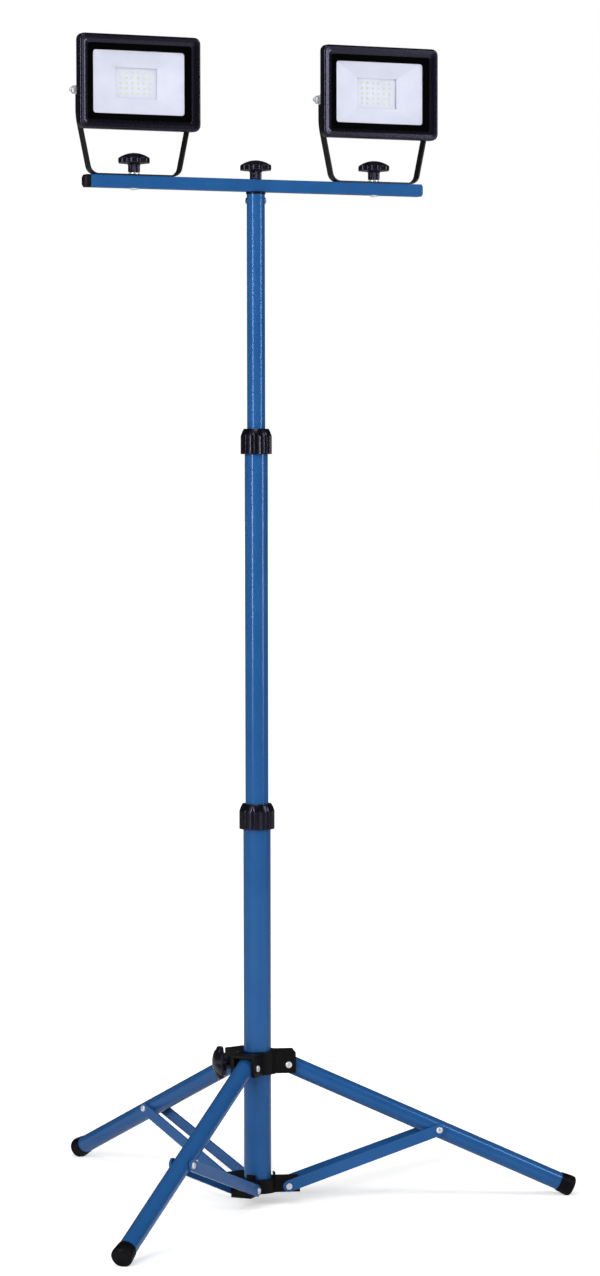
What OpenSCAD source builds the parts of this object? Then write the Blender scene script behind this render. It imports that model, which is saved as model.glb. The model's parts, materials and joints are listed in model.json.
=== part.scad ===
// Twin floodlight work light on a telescopic folding tripod.
// Millimetres, +Z up. The mast stands on the Z axis, the floor is z = 0,
// the crossbar runs along X and the lamps face -Y.

/* [Mast] */
// Outer diameter of the base tube
base_tube_d = 38; // [36:0.5:42]
// Outer diameter of the middle tube
middle_tube_d = 32; // [29:0.5:33]
// Outer diameter of the top tube
top_tube_d = 25; // [22:0.5:26]
// Wall of the mast tubes
tube_wall = 1.2; // [1:0.1:1.5]
// Length of the base tube
base_tube_len = 524.5; // [505:0.5:600]
// Length of the middle tube
middle_tube_len = 574; // [520:1:620]
// Length of the top tube
top_tube_len = 390; // [340:1:440]
// Length of tube that stays inside the next one when the mast is drawn out
tube_overlap = 56; // [48:1:80]
// Height of the plastic guide ring on the foot of a sliding tube
guide_h = 30; // [20:1:40]
// Thickness of the guide's flange under the tube
guide_flange = 3; // [2:0.5:4]

/* [Twist locks] */
// Wall of the bush on the rim of the outer tube
bush_wall = 2; // [1.5:0.1:3]
// Length of the bush outside the outer tube
bush_sleeve_len = 22; // [16:1:30]
// Length of the bush's grip above the rim
bush_grip_len = 9; // [6:1:14]
// Wall of the twist collar
lock_wall = 3.4; // [2.8:0.1:5]
// Height of the twist collar's sloped shoulder
lock_shoulder = 7; // [4:0.5:10]
// Thickness of the twist collar's top
lock_roof = 3; // [2:0.5:5]
// Number of grip flutes round a twist collar
lock_flutes = 14; // [8:1:20]
// Radius of a grip flute
flute_r = 1.8; // [1:0.1:2.4]

/* [Tripod] */
// Outer diameter of a leg tube
leg_d = 25; // [22:0.5:28]
// Wall of a leg tube
leg_wall = 1.2; // [1:0.1:2]
// Length of leg from its pivot to the edge of its foot
leg_len = 423; // [380:1:440]
// Length of leg tube behind its pivot
leg_end = 5; // [4.5:0.5:8]
// Angle of an open leg below the horizontal
leg_drop = 24.6; // [20:0.1:30]
// Heading of the first leg about the mast, from the crossbar
leg_yaw = -18.3; // [-60:0.1:60]
// Distance on the leg from its pivot to the stay's pivot
stay_at = 233; // [200:1:240]
// Width of a stay strip
stay_w = 16; // [14:0.5:20]
// Thickness of a stay strip
stay_t = 3; // [2:0.5:4]
// Height of the stays' lower pivots above the floor
hub_pivot_z = 26; // [24:0.5:32]

/* [Feet] */
// Wall of a slip-on foot at its rim
foot_wall = 0.9; // [0.8:0.1:2]
// Widening of a foot from its rim to its end
foot_flare = 1.2; // [0.6:0.1:2]
// Length of a foot
foot_len = 21.5; // [18:0.5:30]
// Radius of the rounded edge of a foot
foot_round = 4.5; // [3:0.5:6]
// Thickness of a foot's closed end
foot_end = 6; // [4:0.5:8]
// Depth of the worn flat under a foot
foot_flat = 1; // [0.6:0.1:1.6]

/* [Leg collar and hub] */
// Wall of the leg collar and of the hub round the mast
hub_wall = 8.6; // [8:0.2:10]
// Depth of the leg collar's ears below the leg pivots
ear_down = 11.6; // [8:0.2:14]
// Height by which the collar ring stands out of its ears, above and below
ring_proud = 0.8; // [0.4:0.1:1.5]
// Reach of the ears past the leg pivots
ear_out = 10; // [8:0.5:13]
// Thickness of an ear
ear_t = 5; // [4:0.5:6]
// Corner radius of an ear's outer edge
ear_round = 1.5; // [1:0.5:6]
// Thickness of the roof over the leg ends
roof_t = 4; // [3:0.5:6]
// Height of the clamp knob's axis above the leg pivots
clamp_up = 4; // [3:0.5:9]
// Diameter of the boss that takes the clamp screw
clamp_boss_d = 18; // [15:0.5:20]
// Length of the clamp boss beyond the collar ring
clamp_boss_len = 10; // [8:0.5:14]
// Turn of the clamp screw towards the front leg, from the middle between two legs
clamp_turn = 10; // [0:1:11]
// Reach of the hub arms past the stays' pivots
arm_reach = 16; // [10:0.5:18]
// Thickness of the hub's floor under the base tube
hub_floor = 4; // [3:0.5:6]
// Depth of the hub below its pivots
hub_down = 8.5; // [6:0.5:14]
// Height of the hub above its pivots
hub_up = 10.5; // [9:0.5:11]
// Width of the upright tab at the root of a hub arm
tab_w = 13; // [10:0.5:16]
// Thickness of the tab
tab_t = 2.6; // [2:0.1:3]
// Height of the tab above the hub
tab_h = 7; // [4:0.5:9]
// Gap between the tab and the base tube
tab_gap = 2.6; // [2:0.1:3]
// Diameter of the pivot screws
pivot_d = 6; // [5:0.5:7]
// Diameter of a pivot screw's head
pivot_head_d = 9; // [8:0.5:13]
// Height of a pivot screw's head
pivot_head_h = 2.5; // [1.5:0.1:3.5]

/* [Crossbar] */
// Side of the square crossbar tube
bar_size = 17; // [16:0.5:20]
// Wall of the crossbar tube
bar_wall = 1.2; // [1:0.1:1.6]
// Corner radius of the crossbar tube
bar_round = 1.5; // [1:0.1:2]
// Length of the crossbar tube
bar_len = 495; // [470:1:600]
// Length of an end cap outside the tube
cap_len = 8.5; // [5:0.5:12]
// Length of an end cap inside the tube
cap_plug_len = 12; // [8:1:20]
// Chamfer of an end cap's outer edge
cap_chamfer = 3; // [1:0.1:4]
// Distance of a lamp bolt from the mast axis
lamp_offset = 181.5; // [170:0.5:200]
// Diameter of the lamp bolts and of the other clamp studs
stud_d = 8; // [6:0.5:9]
// Diameter of a lamp bolt's low head
bolt_head_d = 12; // [10.5:0.5:14]
// Height of a lamp bolt's low head
bolt_head_h = 2.4; // [1.5:0.1:4]
// Thickness of the mast plug's flange under the crossbar
plug_flange = 3; // [2:0.5:5]
// Overhang of the mast plug's flange beyond the top tube
plug_lip = 1; // [0.5:0.1:2]
// Length of the mast plug inside the top tube
plug_len = 30; // [24:1:40]
// Depth of the rivet below the top of the top tube
rivet_down = 9; // [8:0.5:14]
// Diameter of the rivet through the top tube
rivet_d = 5; // [4:0.5:6]
// Diameter of the rivet's heads
rivet_head_d = 9; // [7.5:0.5:11]
// Height of the rivet's heads
rivet_head_h = 2; // [1:0.1:3]
// Heading of the rivet from the crossbar
rivet_yaw = -25; // [-90:5:90]

/* [Knobs] */
// Diameter of a star knob
knob_d = 45.5; // [40:0.5:47]
// Number of lobes
knob_lobes = 6; // [5:1:7]
// Radius of a lobe
lobe_r = 7; // [6:0.1:7.5]
// Height of the knob's head at its middle
knob_head_h = 15; // [13:0.5:18]
// Height of the knob's head at its rim
knob_rim_h = 8.5; // [6:0.5:10]
// Diameter of the knob's neck
knob_neck_d = 17; // [14.5:0.5:19]
// Length of the knob's neck
knob_neck_h = 11; // [8:0.5:12]
// Depth of the knob's socket
knob_socket = 12; // [10:0.5:14]
// Spare depth of a knob's socket above its stud
socket_spare = 1; // [0.6:0.1:2]
// Bare stud between a lamp bracket and its knob
stud_gap = 2.7; // [1:0.1:5]

/* [Lamp bracket] */
// Width of the bracket strip
bracket_w = 15; // [13:0.5:16]
// Thickness of the bracket strip
bracket_t = 2; // [1.8:0.1:3]
// Half length of the bracket's flat base
bracket_base = 54.5; // [53:0.5:58]
// Inner radius of the bracket's lower bends
bend_r = 12; // [8:0.5:14]
// Inner radius of the easy bend where an arm turns upright
arm_bend_r = 100; // [80:5:120]
// Slant of an arm from upright
arm_slant = 12; // [11:0.1:12.5]
// Height of the tilt axis above the crossbar
tilt_height = 112.5; // [108:0.5:130]
// Gap between an arm and the housing
arm_gap = 1.3; // [1.2:0.1:1.8]
// Across flats of a tilt bolt's nut
tilt_nut_af = 10; // [9:0.5:13]
// Height of a tilt bolt's nut
tilt_nut_h = 5; // [3:0.5:6]
// Length of a tilt bolt's end outside its nut
tilt_end = 3.5; // [2:0.5:6]
// Diameter of a tilt bolt's washer
tilt_washer_d = 13; // [12:0.5:15]
// Thickness of a tilt bolt's washers together
tilt_washer_h = 2.2; // [1.2:0.1:3]
// Length of a tilt bolt inside the housing
tilt_bolt_in = 8; // [6:0.5:10]

/* [Lamp] */
// Width of the lamp's front frame
lamp_w = 178; // [176:1:200]
// Height of the lamp's front frame
lamp_h = 127; // [124:1:150]
// Corner radius of the front frame
lamp_round = 9; // [6:0.5:12]
// Height of the lamp's middle above the tilt axis
lamp_rise = 11; // [0:0.5:14]
// Distance of the frame's front from the tilt axis
lamp_front = 25; // [24:0.5:28]
// Distance of the frame's back from the tilt axis
frame_back = 12.3; // [11.5:0.1:13]
// Slope of the frame's rounded outer edge, across and deep
frame_slope = 6; // [4:0.5:7]
// Width of the clear window
window_w = 134; // [120:0.5:135]
// Height of the clear window
window_h = 84.5; // [76:0.5:86]
// Width of the black border between the window and the frame
border_w = 9; // [8:0.5:10]
// Depth of the glass below the frame's front
glass_sink = 3.5; // [2.5:0.1:4]
// Thickness of the glass
glass_t = 4; // [3:0.5:4.5]
// Width of glass under the frame's lip
glass_edge = 2; // [1.5:0.5:2.5]
// Thickness of the gasket behind the glass
gasket_t = 1.5; // [1:0.1:2]
// Width of the housing behind the frame
housing_w = 158; // [157:0.5:160]
// Height of the housing behind the frame
housing_h = 112; // [110:0.5:116]
// Corner radius of the housing
housing_round = 8; // [5:0.5:10]
// Depth of the housing's back face behind the tilt axis
housing_back = 6; // [5:0.5:8]
// Thickness of the housing's back wall
back_wall = 4; // [3:0.5:5]
// Number of cooling fins
fin_count = 15; // [9:2:19]
// Thickness of a cooling fin
fin_t = 2.4; // [1.6:0.1:3]
// Depth of the cooling fins
fin_h = 8; // [5:0.5:10]

/* [Light source] */
// Depth of the reflector behind the glass
reflector_depth = 12.5; // [11:0.1:13]
// Wall of the reflector
reflector_t = 1; // [0.8:0.1:1.4]
// Width of the reflector's opening round the chips
chip_field_w = 61; // [56:1:64]
// Height of the reflector's opening round the chips
chip_field_h = 41; // [38:1:46]
// Thickness of the circuit board
board_t = 1.6; // [1:0.1:2]
// Width of board under the reflector's edge
board_edge = 4; // [3:0.5:6]
// Chips along a row
chip_cols = 6; // [4:1:6]
// Rows of chips
chip_rows = 5; // [3:1:5]
// Distance between chips along a row
chip_pitch_x = 8.5; // [7:0.1:9.5]
// Distance between rows of chips
chip_pitch_z = 7; // [5.5:0.1:7.5]
// Side of a chip
chip_size = 3.6; // [2.5:0.1:4.5]
// Height of a chip
chip_t = 0.8; // [0.5:0.1:1.2]

/* [Driver box] */
// Width of the driver box on the housing's back
driver_w = 88; // [80:1:100]
// Height of the driver box
driver_h = 46; // [40:1:56]
// Depth of the driver box
driver_d = 14; // [12:0.5:18]
// Wall of the driver box
driver_wall = 2.2; // [1.6:0.1:3]
// Diameter of the cable gland
gland_d = 12; // [11:0.5:14]
// Length of the cable gland outside the driver box
gland_len = 14; // [10:1:18]
// Distance of the cable gland from the middle of the driver box, clear of the knob below
gland_x = 29; // [28:0.5:34]
// Bore of the cable gland
gland_bore = 7; // [6:0.5:8]

/* [Fits] */
// Radial clearance of pieces that slide or turn in each other
run_fit = 0.1; // [0.05:0.01:0.1]
// Radial clearance of pieces that are fixed in each other
seat_fit = 0.05; // [0.02:0.01:0.1]
// Gap between faces that pass each other
face_gap = 0.5; // [0.3:0.1:0.6]

/* [Hidden] */
$fn = 64;

// Colours of the finishes
blue_paint = "#2460A0";
black_plastic = "#1B1B1F";
black_paint = "#22222A";
zinc_steel = "#B9BCC0";
clear_glass = [0.85, 0.9, 0.95, 0.35];
white_reflector = "#E4E4F0";
board_white = "#F1F0EA";
chip_yellow = "#F0E9B4";

// Mast heights, from the floor up
hub_base_z = hub_pivot_z - hub_down;
hub_top_z = hub_pivot_z + hub_up;
base_z = hub_base_z + hub_floor;
base_rim = base_z + base_tube_len;
middle_z = base_rim - tube_overlap;
middle_rim = middle_z + middle_tube_len;
top_z = middle_rim - tube_overlap;
top_rim = top_z + top_tube_len;
bar_bottom = top_rim + plug_flange;
bar_z = bar_bottom + bar_size / 2;
bar_top = bar_bottom + bar_size;
tilt_z = bar_top + tilt_height;

// Radii of tubes and rings
base_r = base_tube_d / 2;
ring_r = base_r + run_fit + hub_wall;
swing_r = sqrt(pow(leg_end, 2) + pow(leg_d / 2, 2));
pivot_r = ring_r + swing_r + face_gap;
foot_rim_r = leg_d / 2 + seat_fit + foot_wall;
foot_r = foot_rim_r + foot_flare;

// Leg and stay geometry in the plane of one leg
foot_reach = leg_len + foot_len - foot_round;
pivot_z = foot_reach * sin(leg_drop) + (foot_r - foot_round) * cos(leg_drop) + foot_round - foot_flat;
stay_top_r = pivot_r + stay_at * cos(leg_drop);
stay_top_z = pivot_z - stay_at * sin(leg_drop);
stay_rise = atan2(stay_top_z - hub_pivot_z, stay_top_r - pivot_r);
stay_len = norm([stay_top_r - pivot_r, stay_top_z - hub_pivot_z]);
ear_in = leg_d / 2 + face_gap;
ear_face = ear_in + ear_t;
stay_in = foot_r + 2 * face_gap;
stay_face = stay_in + stay_t;
stay_top_in = leg_d / 2 + face_gap;
stay_toe = asin((stay_in - stay_top_in) / stay_len);
roof_z = pivot_z + swing_r + face_gap;
collar_top = roof_z + roof_t;
clamp_z = pivot_z + clamp_up;
clamp_face = ring_r + clamp_boss_len;
clamp_yaw = leg_yaw + 180 + clamp_turn;

// Lamp layers, as distances in front of the tilt axis
glass_front = lamp_front - glass_sink;
glass_rear = glass_front - glass_t;
gasket_rear = glass_rear - gasket_t;
board_front = glass_rear - reflector_depth;
board_rear = board_front - board_t;
opening_w = window_w + 2 * border_w;
opening_h = window_h + 2 * border_w;
glass_w = opening_w + 2 * glass_edge;
glass_h = opening_h + 2 * glass_edge;
board_w = chip_field_w + 2 * board_edge;
board_h = chip_field_h + 2 * board_edge;
arm_in = housing_w / 2 + arm_gap;
arm_spread = arm_in - bracket_base - bend_r * cos(arm_slant) - arm_bend_r * (1 - cos(arm_slant));
arm_run = arm_spread / sin(arm_slant);
bend_steps = 12;
bend_centre = [bracket_base, bracket_t + bend_r];
turn_centre = bend_centre + arm_run * [sin(arm_slant), cos(arm_slant)]
  + (bend_r - arm_bend_r) * [cos(arm_slant), -sin(arm_slant)];
window_round = 4;
opening_round = 5;
gland_y = housing_back + driver_d / 2;
gland_z = lamp_rise - driver_h / 2;

legs = ["right", "back", "front"];
sides = [["left", -1], ["right", 1]];
overcut = 1;

// Shared shapes

// Round tube or ring standing on the given height
module ring(r_out, r_in, z0, z1) {
  translate([0, 0, z0])
    difference() {
      cylinder(r = r_out, h = z1 - z0);
      translate([0, 0, -overcut]) cylinder(r = r_in, h = z1 - z0 + 2 * overcut);
    }
}

// Flat rectangle with round corners, centred
module round_rect(w, h, r) {
  square([w - 2 * r, h], center = true);
  square([w, h - 2 * r], center = true);
  for (x = [-1, 1], y = [-1, 1])
    translate([x * (w / 2 - r), y * (h / 2 - r)]) circle(r);
}

// Upright plate facing -Y, from y0 at its front to y1 at its back
module face_plate(w, h, r, y0, y1) {
  translate([0, y1, 0]) rotate([90, 0, 0]) linear_extrude(y1 - y0) round_rect(w, h, r);
}

// Pin across the plane of a leg, along Y, with a head at each end
module cross_screw(face) {
  rotate([90, 0, 0]) cylinder(d = pivot_d, h = 2 * face, center = true);
  for (side = [-1, 1])
    translate([0, side * (face + pivot_head_h / 2), 0])
      rotate([90, 0, 0]) cylinder(d = pivot_head_d, h = pivot_head_h, center = true);
}

// Hole across the plane of a leg, along Y
module cross_hole(d, length) {
  rotate([90, 0, 0]) cylinder(d = d, h = length, center = true);
}

// Star knob standing on its neck, with a blind socket from below
module star_knob(fit) {
  lobe_at = knob_d / 2 - lobe_r;
  dome = knob_head_h - knob_rim_h;
  dome_r = (pow(knob_d / 2, 2) + pow(dome, 2)) / (2 * dome);
  difference() {
    union() {
      cylinder(d = knob_neck_d, h = knob_neck_h + overcut);
      translate([0, 0, knob_neck_h])
        intersection() {
          linear_extrude(knob_head_h) {
            circle(lobe_at + lobe_r / 3);
            for (i = [0 : knob_lobes - 1])
              rotate(i * 360 / knob_lobes) translate([lobe_at, 0]) circle(lobe_r);
          }
          translate([0, 0, knob_head_h - dome_r]) sphere(dome_r, $fn = 96);
        }
    }
    translate([0, 0, -overcut]) cylinder(d = stud_d + 2 * fit, h = knob_socket + overcut);
  }
}

// Frame of one leg's pivot on the leg collar, Z along the open leg
module on_leg(i) {
  rotate(leg_yaw + i * 360 / len(legs))
    translate([pivot_r, 0, pivot_z]) rotate([0, 90 + leg_drop, 0]) children();
}

// Frame of one stay's pivot on the hub, Z along the open stay
module on_stay(i) {
  rotate(leg_yaw + i * 360 / len(legs))
    translate([pivot_r, 0, hub_pivot_z]) rotate([0, 90 - stay_rise, 0]) children();
}

// Frame of one lamp's tilt axis
module at_lamp(side) {
  translate([side * lamp_offset, 0, tilt_z]) children();
}

// Mast

module base_tube() {
  color(blue_paint) ring(base_r, base_r - tube_wall, base_z, base_rim);
}

module middle_tube() {
  color(blue_paint)
    ring(middle_tube_d / 2, middle_tube_d / 2 - tube_wall, middle_z, middle_rim);
}

module top_tube() {
  color(blue_paint)
    difference() {
      ring(top_tube_d / 2, top_tube_d / 2 - tube_wall, top_z, top_rim);
      translate([0, 0, top_rim - rivet_down])
        rotate([0, 90, rivet_yaw]) cylinder(d = rivet_d + 2 * seat_fit, h = 2 * top_tube_d, center = true);
    }
}

// Bush on an outer tube's rim that grips the tube inside it
module lock_bush(outer_d, inner_d, rim) {
  bush_r = outer_d / 2 + seat_fit + bush_wall;
  color(black_plastic) {
    ring(bush_r, outer_d / 2 + seat_fit, rim - bush_sleeve_len, rim);
    ring(bush_r, inner_d / 2 + run_fit, rim, rim + bush_grip_len);
  }
}

// Fluted collar that turns on a lock bush and squeezes it
module lock_collar(outer_d, inner_d, rim) {
  bore_r = outer_d / 2 + seat_fit + bush_wall + run_fit;
  collar_r = bore_r + lock_wall;
  inside_h = bush_sleeve_len + bush_grip_len + 2 * face_gap;
  collar_h = inside_h + lock_roof;
  hole_r = inner_d / 2 + face_gap;
  top_r = hole_r + lock_wall / 2;
  color(black_plastic)
    translate([0, 0, rim - bush_sleeve_len - face_gap])
      difference() {
        rotate_extrude()
          polygon([
            [bore_r, 0],
            [collar_r, 0],
            [collar_r, collar_h - lock_shoulder],
            [top_r, collar_h],
            [hole_r, collar_h],
            [hole_r, inside_h],
            [bore_r, inside_h]
          ]);
        for (i = [0 : lock_flutes - 1])
          rotate(i * 360 / lock_flutes)
            translate([collar_r + flute_r / 4, 0, -overcut])
              cylinder(r = flute_r, h = collar_h + 2 * overcut, $fn = 24);
      }
}

// Ring on the foot of a sliding tube that guides it in the tube outside
module tube_guide(outer_d, inner_d, z) {
  guide_r = outer_d / 2 - tube_wall - run_fit;
  color(black_plastic) {
    ring(guide_r, inner_d / 2 + seat_fit, z, z + guide_h);
    ring(guide_r, inner_d / 2 - tube_wall, z - guide_flange, z);
  }
}

// Plug in the top tube that carries the crossbar and holds its stud
module top_plug() {
  plug_r = top_tube_d / 2 - tube_wall - seat_fit;
  color(black_plastic)
    difference() {
      union() {
        translate([0, 0, top_rim - plug_len]) cylinder(r = plug_r, h = plug_len + overcut);
        translate([0, 0, top_rim]) cylinder(r = top_tube_d / 2 + plug_lip, h = plug_flange);
      }
      translate([0, 0, top_rim - rivet_down])
        rotate([0, 90, rivet_yaw]) cylinder(d = rivet_d + 2 * seat_fit, h = 2 * top_tube_d, center = true);
      translate([0, 0, top_rim - rivet_down + rivet_d])
        cylinder(d = stud_d + 2 * seat_fit, h = plug_len);
    }
}

module plug_rivet() {
  color(zinc_steel)
    translate([0, 0, top_rim - rivet_down])
      rotate([0, 90, rivet_yaw]) {
        cylinder(d = rivet_d, h = top_tube_d, center = true);
        for (side = [-1, 1])
          translate([0, 0, side * (top_tube_d + rivet_head_h) / 2])
            cylinder(d = rivet_head_d, h = rivet_head_h, center = true);
      }
}

module top_stud() {
  stud_z = top_rim - rivet_down + rivet_d;
  color(zinc_steel)
    translate([0, 0, stud_z]) cylinder(d = stud_d, h = bar_top + knob_socket - socket_spare - stud_z);
}

module top_knob() {
  color(black_plastic) translate([0, 0, bar_top + face_gap / 2]) star_knob(run_fit);
}

// Crossbar

module crossbar() {
  color(blue_paint)
    translate([0, 0, bar_z])
      difference() {
        rotate([90, 0, 90])
          linear_extrude(bar_len, center = true)
            difference() {
              round_rect(bar_size, bar_size, bar_round);
              square(bar_size - 2 * bar_wall, center = true);
            }
        for (x = [-lamp_offset, 0, lamp_offset])
          translate([x, 0, 0])
            cylinder(d = stud_d + 2 * run_fit, h = 2 * bar_size, center = true);
      }
}

// Chamfered plug in an end of the crossbar
module end_cap(side) {
  plug_size = bar_size - 2 * bar_wall - 2 * seat_fit;
  nose = bar_size - 2 * cap_chamfer;
  translate([side * bar_len / 2, 0, bar_z])
    rotate([90, 0, side * 90]) {
      translate([0, 0, -cap_plug_len])
        linear_extrude(cap_plug_len + overcut) square(plug_size, center = true);
      linear_extrude(cap_len - cap_chamfer) round_rect(bar_size, bar_size, bar_round);
      translate([0, 0, cap_len - cap_chamfer])
        linear_extrude(cap_chamfer, scale = nose / bar_size)
          square(bar_size - bar_round, center = true);
    }
}

module left_end_cap() {
  color(black_plastic) end_cap(-1);
}

module right_end_cap() {
  color(blue_paint) end_cap(1);
}

module lamp_bolts() {
  bolt_top = bar_top + bracket_t + stud_gap + knob_socket - socket_spare;
  color(zinc_steel)
    for (side = [-1, 1])
      translate([side * lamp_offset, 0, 0]) {
        translate([0, 0, bar_bottom]) cylinder(d = stud_d, h = bolt_top - bar_bottom);
        translate([0, 0, bar_bottom - bolt_head_h])
          cylinder(d1 = bolt_head_d - bolt_head_h, d2 = bolt_head_d, h = bolt_head_h);
      }
}

// Tripod

// Fixed foot of the mast, with an arm between each pair of stays and a tab at its root
module lower_hub() {
  arm_half_w = stay_in - face_gap;
  color(black_plastic)
    difference() {
      union() {
        translate([0, 0, hub_base_z])
          linear_extrude(hub_top_z - hub_base_z) {
            circle(ring_r);
            for (i = [0 : len(legs) - 1])
              rotate(leg_yaw + i * 360 / len(legs))
                translate([0, -arm_half_w]) square([pivot_r + arm_reach, 2 * arm_half_w]);
          }
        for (i = [0 : len(legs) - 1])
          rotate(leg_yaw + i * 360 / len(legs))
            translate([base_r + tab_gap, -tab_w / 2, hub_top_z - overcut])
              cube([tab_t, tab_w, tab_h + overcut]);
      }
      translate([0, 0, base_z]) cylinder(r = base_r + seat_fit, h = base_tube_len);
      for (i = [0 : len(legs) - 1])
        on_stay(i) cross_hole(pivot_d + 2 * seat_fit, 3 * stay_face);
    }
}

module hub_pivot_screws() {
  color(zinc_steel) for (i = [0 : len(legs) - 1]) on_stay(i) cross_screw(stay_face + face_gap);
}

// Block of the leg collar over one leg, from the mast axis to its rounded outer edge
module ear_block(bottom, height) {
  arm_out = pivot_r + ear_out;
  translate([0, 0, bottom])
    intersection() {
      translate([0, 0, height / 2])
        rotate([90, 0, 0])
          linear_extrude(2 * ear_face, center = true) round_rect(2 * arm_out, height, ear_round);
      translate([0, -ear_face, 0]) cube([arm_out, 2 * ear_face, height]);
    }
}

// Sliding collar with a pair of ears and a roof for each leg, and a clamp boss
module leg_collar() {
  ear_bottom = pivot_z - ear_down;
  ring_bottom = ear_bottom - ring_proud;
  ring_h = collar_top - ear_bottom + 2 * ring_proud;
  color(black_plastic)
    difference() {
      union() {
        translate([0, 0, ring_bottom]) cylinder(r = ring_r, h = ring_h);
        for (i = [0 : len(legs) - 1])
          rotate(leg_yaw + i * 360 / len(legs)) ear_block(ear_bottom, collar_top - ear_bottom);
        rotate(clamp_yaw)
          translate([0, 0, clamp_z]) rotate([0, 90, 0]) cylinder(d = clamp_boss_d, h = clamp_face);
      }
      translate([0, 0, ring_bottom - overcut])
        cylinder(r = base_r + run_fit, h = ring_h + 2 * overcut);
      for (i = [0 : len(legs) - 1])
        rotate(leg_yaw + i * 360 / len(legs))
          translate([ring_r + face_gap / 2, -ear_in, ear_bottom - overcut])
            cube([pivot_r, 2 * ear_in, roof_z - ear_bottom + overcut]);
      for (i = [0 : len(legs) - 1])
        on_leg(i) cross_hole(pivot_d + 2 * seat_fit, 3 * ear_face);
      rotate(clamp_yaw)
        translate([0, 0, clamp_z])
          rotate([0, 90, 0]) cylinder(d = stud_d + 2 * run_fit, h = clamp_face + overcut);
    }
}

module leg_pivot_screws() {
  color(zinc_steel) for (i = [0 : len(legs) - 1]) on_leg(i) cross_screw(ear_face);
}

// Screw that presses on the base tube and holds the leg collar
module clamp_screw() {
  screw_tip = base_r + face_gap;
  color(zinc_steel)
    rotate(clamp_yaw)
      translate([screw_tip, 0, clamp_z])
        rotate([0, 90, 0])
          cylinder(d = stud_d, h = clamp_face + face_gap + knob_socket - screw_tip);
}

module clamp_knob() {
  color(black_plastic)
    rotate(clamp_yaw)
      translate([clamp_face + face_gap, 0, clamp_z]) rotate([0, 90, 0]) star_knob(seat_fit);
}

module leg(i) {
  color(blue_paint)
    on_leg(i)
      difference() {
        ring(leg_d / 2, leg_d / 2 - leg_wall, -leg_end, leg_len + foot_len - foot_end);
        cross_hole(pivot_d + 2 * run_fit, 2 * leg_d);
      }
}

// Slip-on foot that flares to a rounded end, cut flat where it stands
module foot(i) {
  floor_size = 4 * leg_len;
  color(black_plastic)
    difference() {
      on_leg(i)
        translate([0, 0, leg_len])
          difference() {
            rotate_extrude() {
              polygon([
                [0, 0],
                [foot_rim_r, 0],
                [foot_r, foot_len / 2],
                [foot_r, foot_len - foot_round],
                [0, foot_len - foot_round]
              ]);
              square([foot_r - foot_round, foot_len]);
              translate([foot_r - foot_round, foot_len - foot_round]) circle(foot_round);
            }
            translate([0, 0, -overcut])
              cylinder(r = leg_d / 2 + seat_fit, h = foot_len - foot_end + overcut);
          }
      translate([0, 0, -floor_size / 2]) cube(floor_size, center = true);
    }
}

// Frame of one strip of a pair of stays, which lean in towards the leg from the wider hub arm
module on_strip(i, side) {
  on_stay(i)
    translate([0, side * stay_in, 0])
      rotate([side * stay_toe, 0, 0]) children();
}

// Pair of flat strips that straddle a leg
module stays(i) {
  color(blue_paint)
    for (side = [-1, 1])
      on_strip(i, side)
        translate([0, side * stay_t / 2, 0])
          rotate([90, 0, 0])
            linear_extrude(stay_t, center = true)
              difference() {
                union() {
                  translate([-stay_w / 2, 0]) square([stay_w, stay_len]);
                  for (y = [0, stay_len]) translate([0, y]) circle(d = stay_w);
                }
                circle(d = pivot_d + 2 * run_fit);
                translate([0, stay_len]) circle(d = pivot_d + 2 * seat_fit);
              }
}

// Rivets of a pair of stays at the leg, flush inside and with a head outside each strip
module stay_screws(i) {
  color(zinc_steel)
    for (side = [-1, 1])
      on_strip(i, side)
        translate([0, 0, stay_len])
          rotate([-side * 90, 0, 0]) {
            cylinder(d = pivot_d, h = stay_t);
            translate([0, 0, stay_t]) cylinder(d = pivot_head_d, h = pivot_head_h);
          }
}

// Lamps

// Points along an arc
function arc(centre, r, a0, a1) =
  [for (i = [0 : bend_steps]) let (a = a0 + (a1 - a0) * i / bend_steps) centre + r * [cos(a), sin(a)]];

// The same points on the other side of the bracket, in reverse order
function mirrored(points) =
  [for (i = [len(points) - 1 : -1 : 0]) [-points[i][0], points[i][1]]];

// One face of the bracket strip from its base to the top of one arm, by the depth of that face
function bracket_face(depth) =
  concat(
    arc(bend_centre, bend_r + depth, -90, -arm_slant),
    arc(turn_centre, arm_bend_r + depth, -arm_slant, 0),
    [[arm_in + depth, tilt_height]]
  );

// Front outline of the bracket strip: its outer face from left to right, its inner face back
module bracket_outline() {
  outer = concat(mirrored(bracket_face(bracket_t)), bracket_face(bracket_t));
  inner = concat(mirrored(bracket_face(0)), bracket_face(0));
  polygon(concat(outer, [for (p = inner) [-p[0], p[1]]]));
}

// U-shaped strip that carries a lamp between its arms
module bracket(side) {
  color(black_paint)
    translate([side * lamp_offset, 0, bar_top])
      difference() {
        union() {
          rotate([90, 0, 0])
            linear_extrude(bracket_w, center = true) bracket_outline();
          for (arm = [-1, 1])
            translate([arm * (arm_in + bracket_t / 2), 0, tilt_height])
              rotate([0, 90, 0]) cylinder(d = bracket_w, h = bracket_t, center = true);
        }
        translate([0, 0, -overcut])
          cylinder(d = stud_d + 2 * run_fit, h = bracket_t + 2 * overcut);
        translate([0, 0, tilt_height])
          rotate([0, 90, 0])
            cylinder(d = pivot_d + 2 * run_fit, h = 2 * lamp_w, center = true);
      }
}

module lamp_knob(side) {
  color(black_plastic)
    translate([side * lamp_offset, 0, bar_top + bracket_t + stud_gap]) star_knob(run_fit);
}

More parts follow.
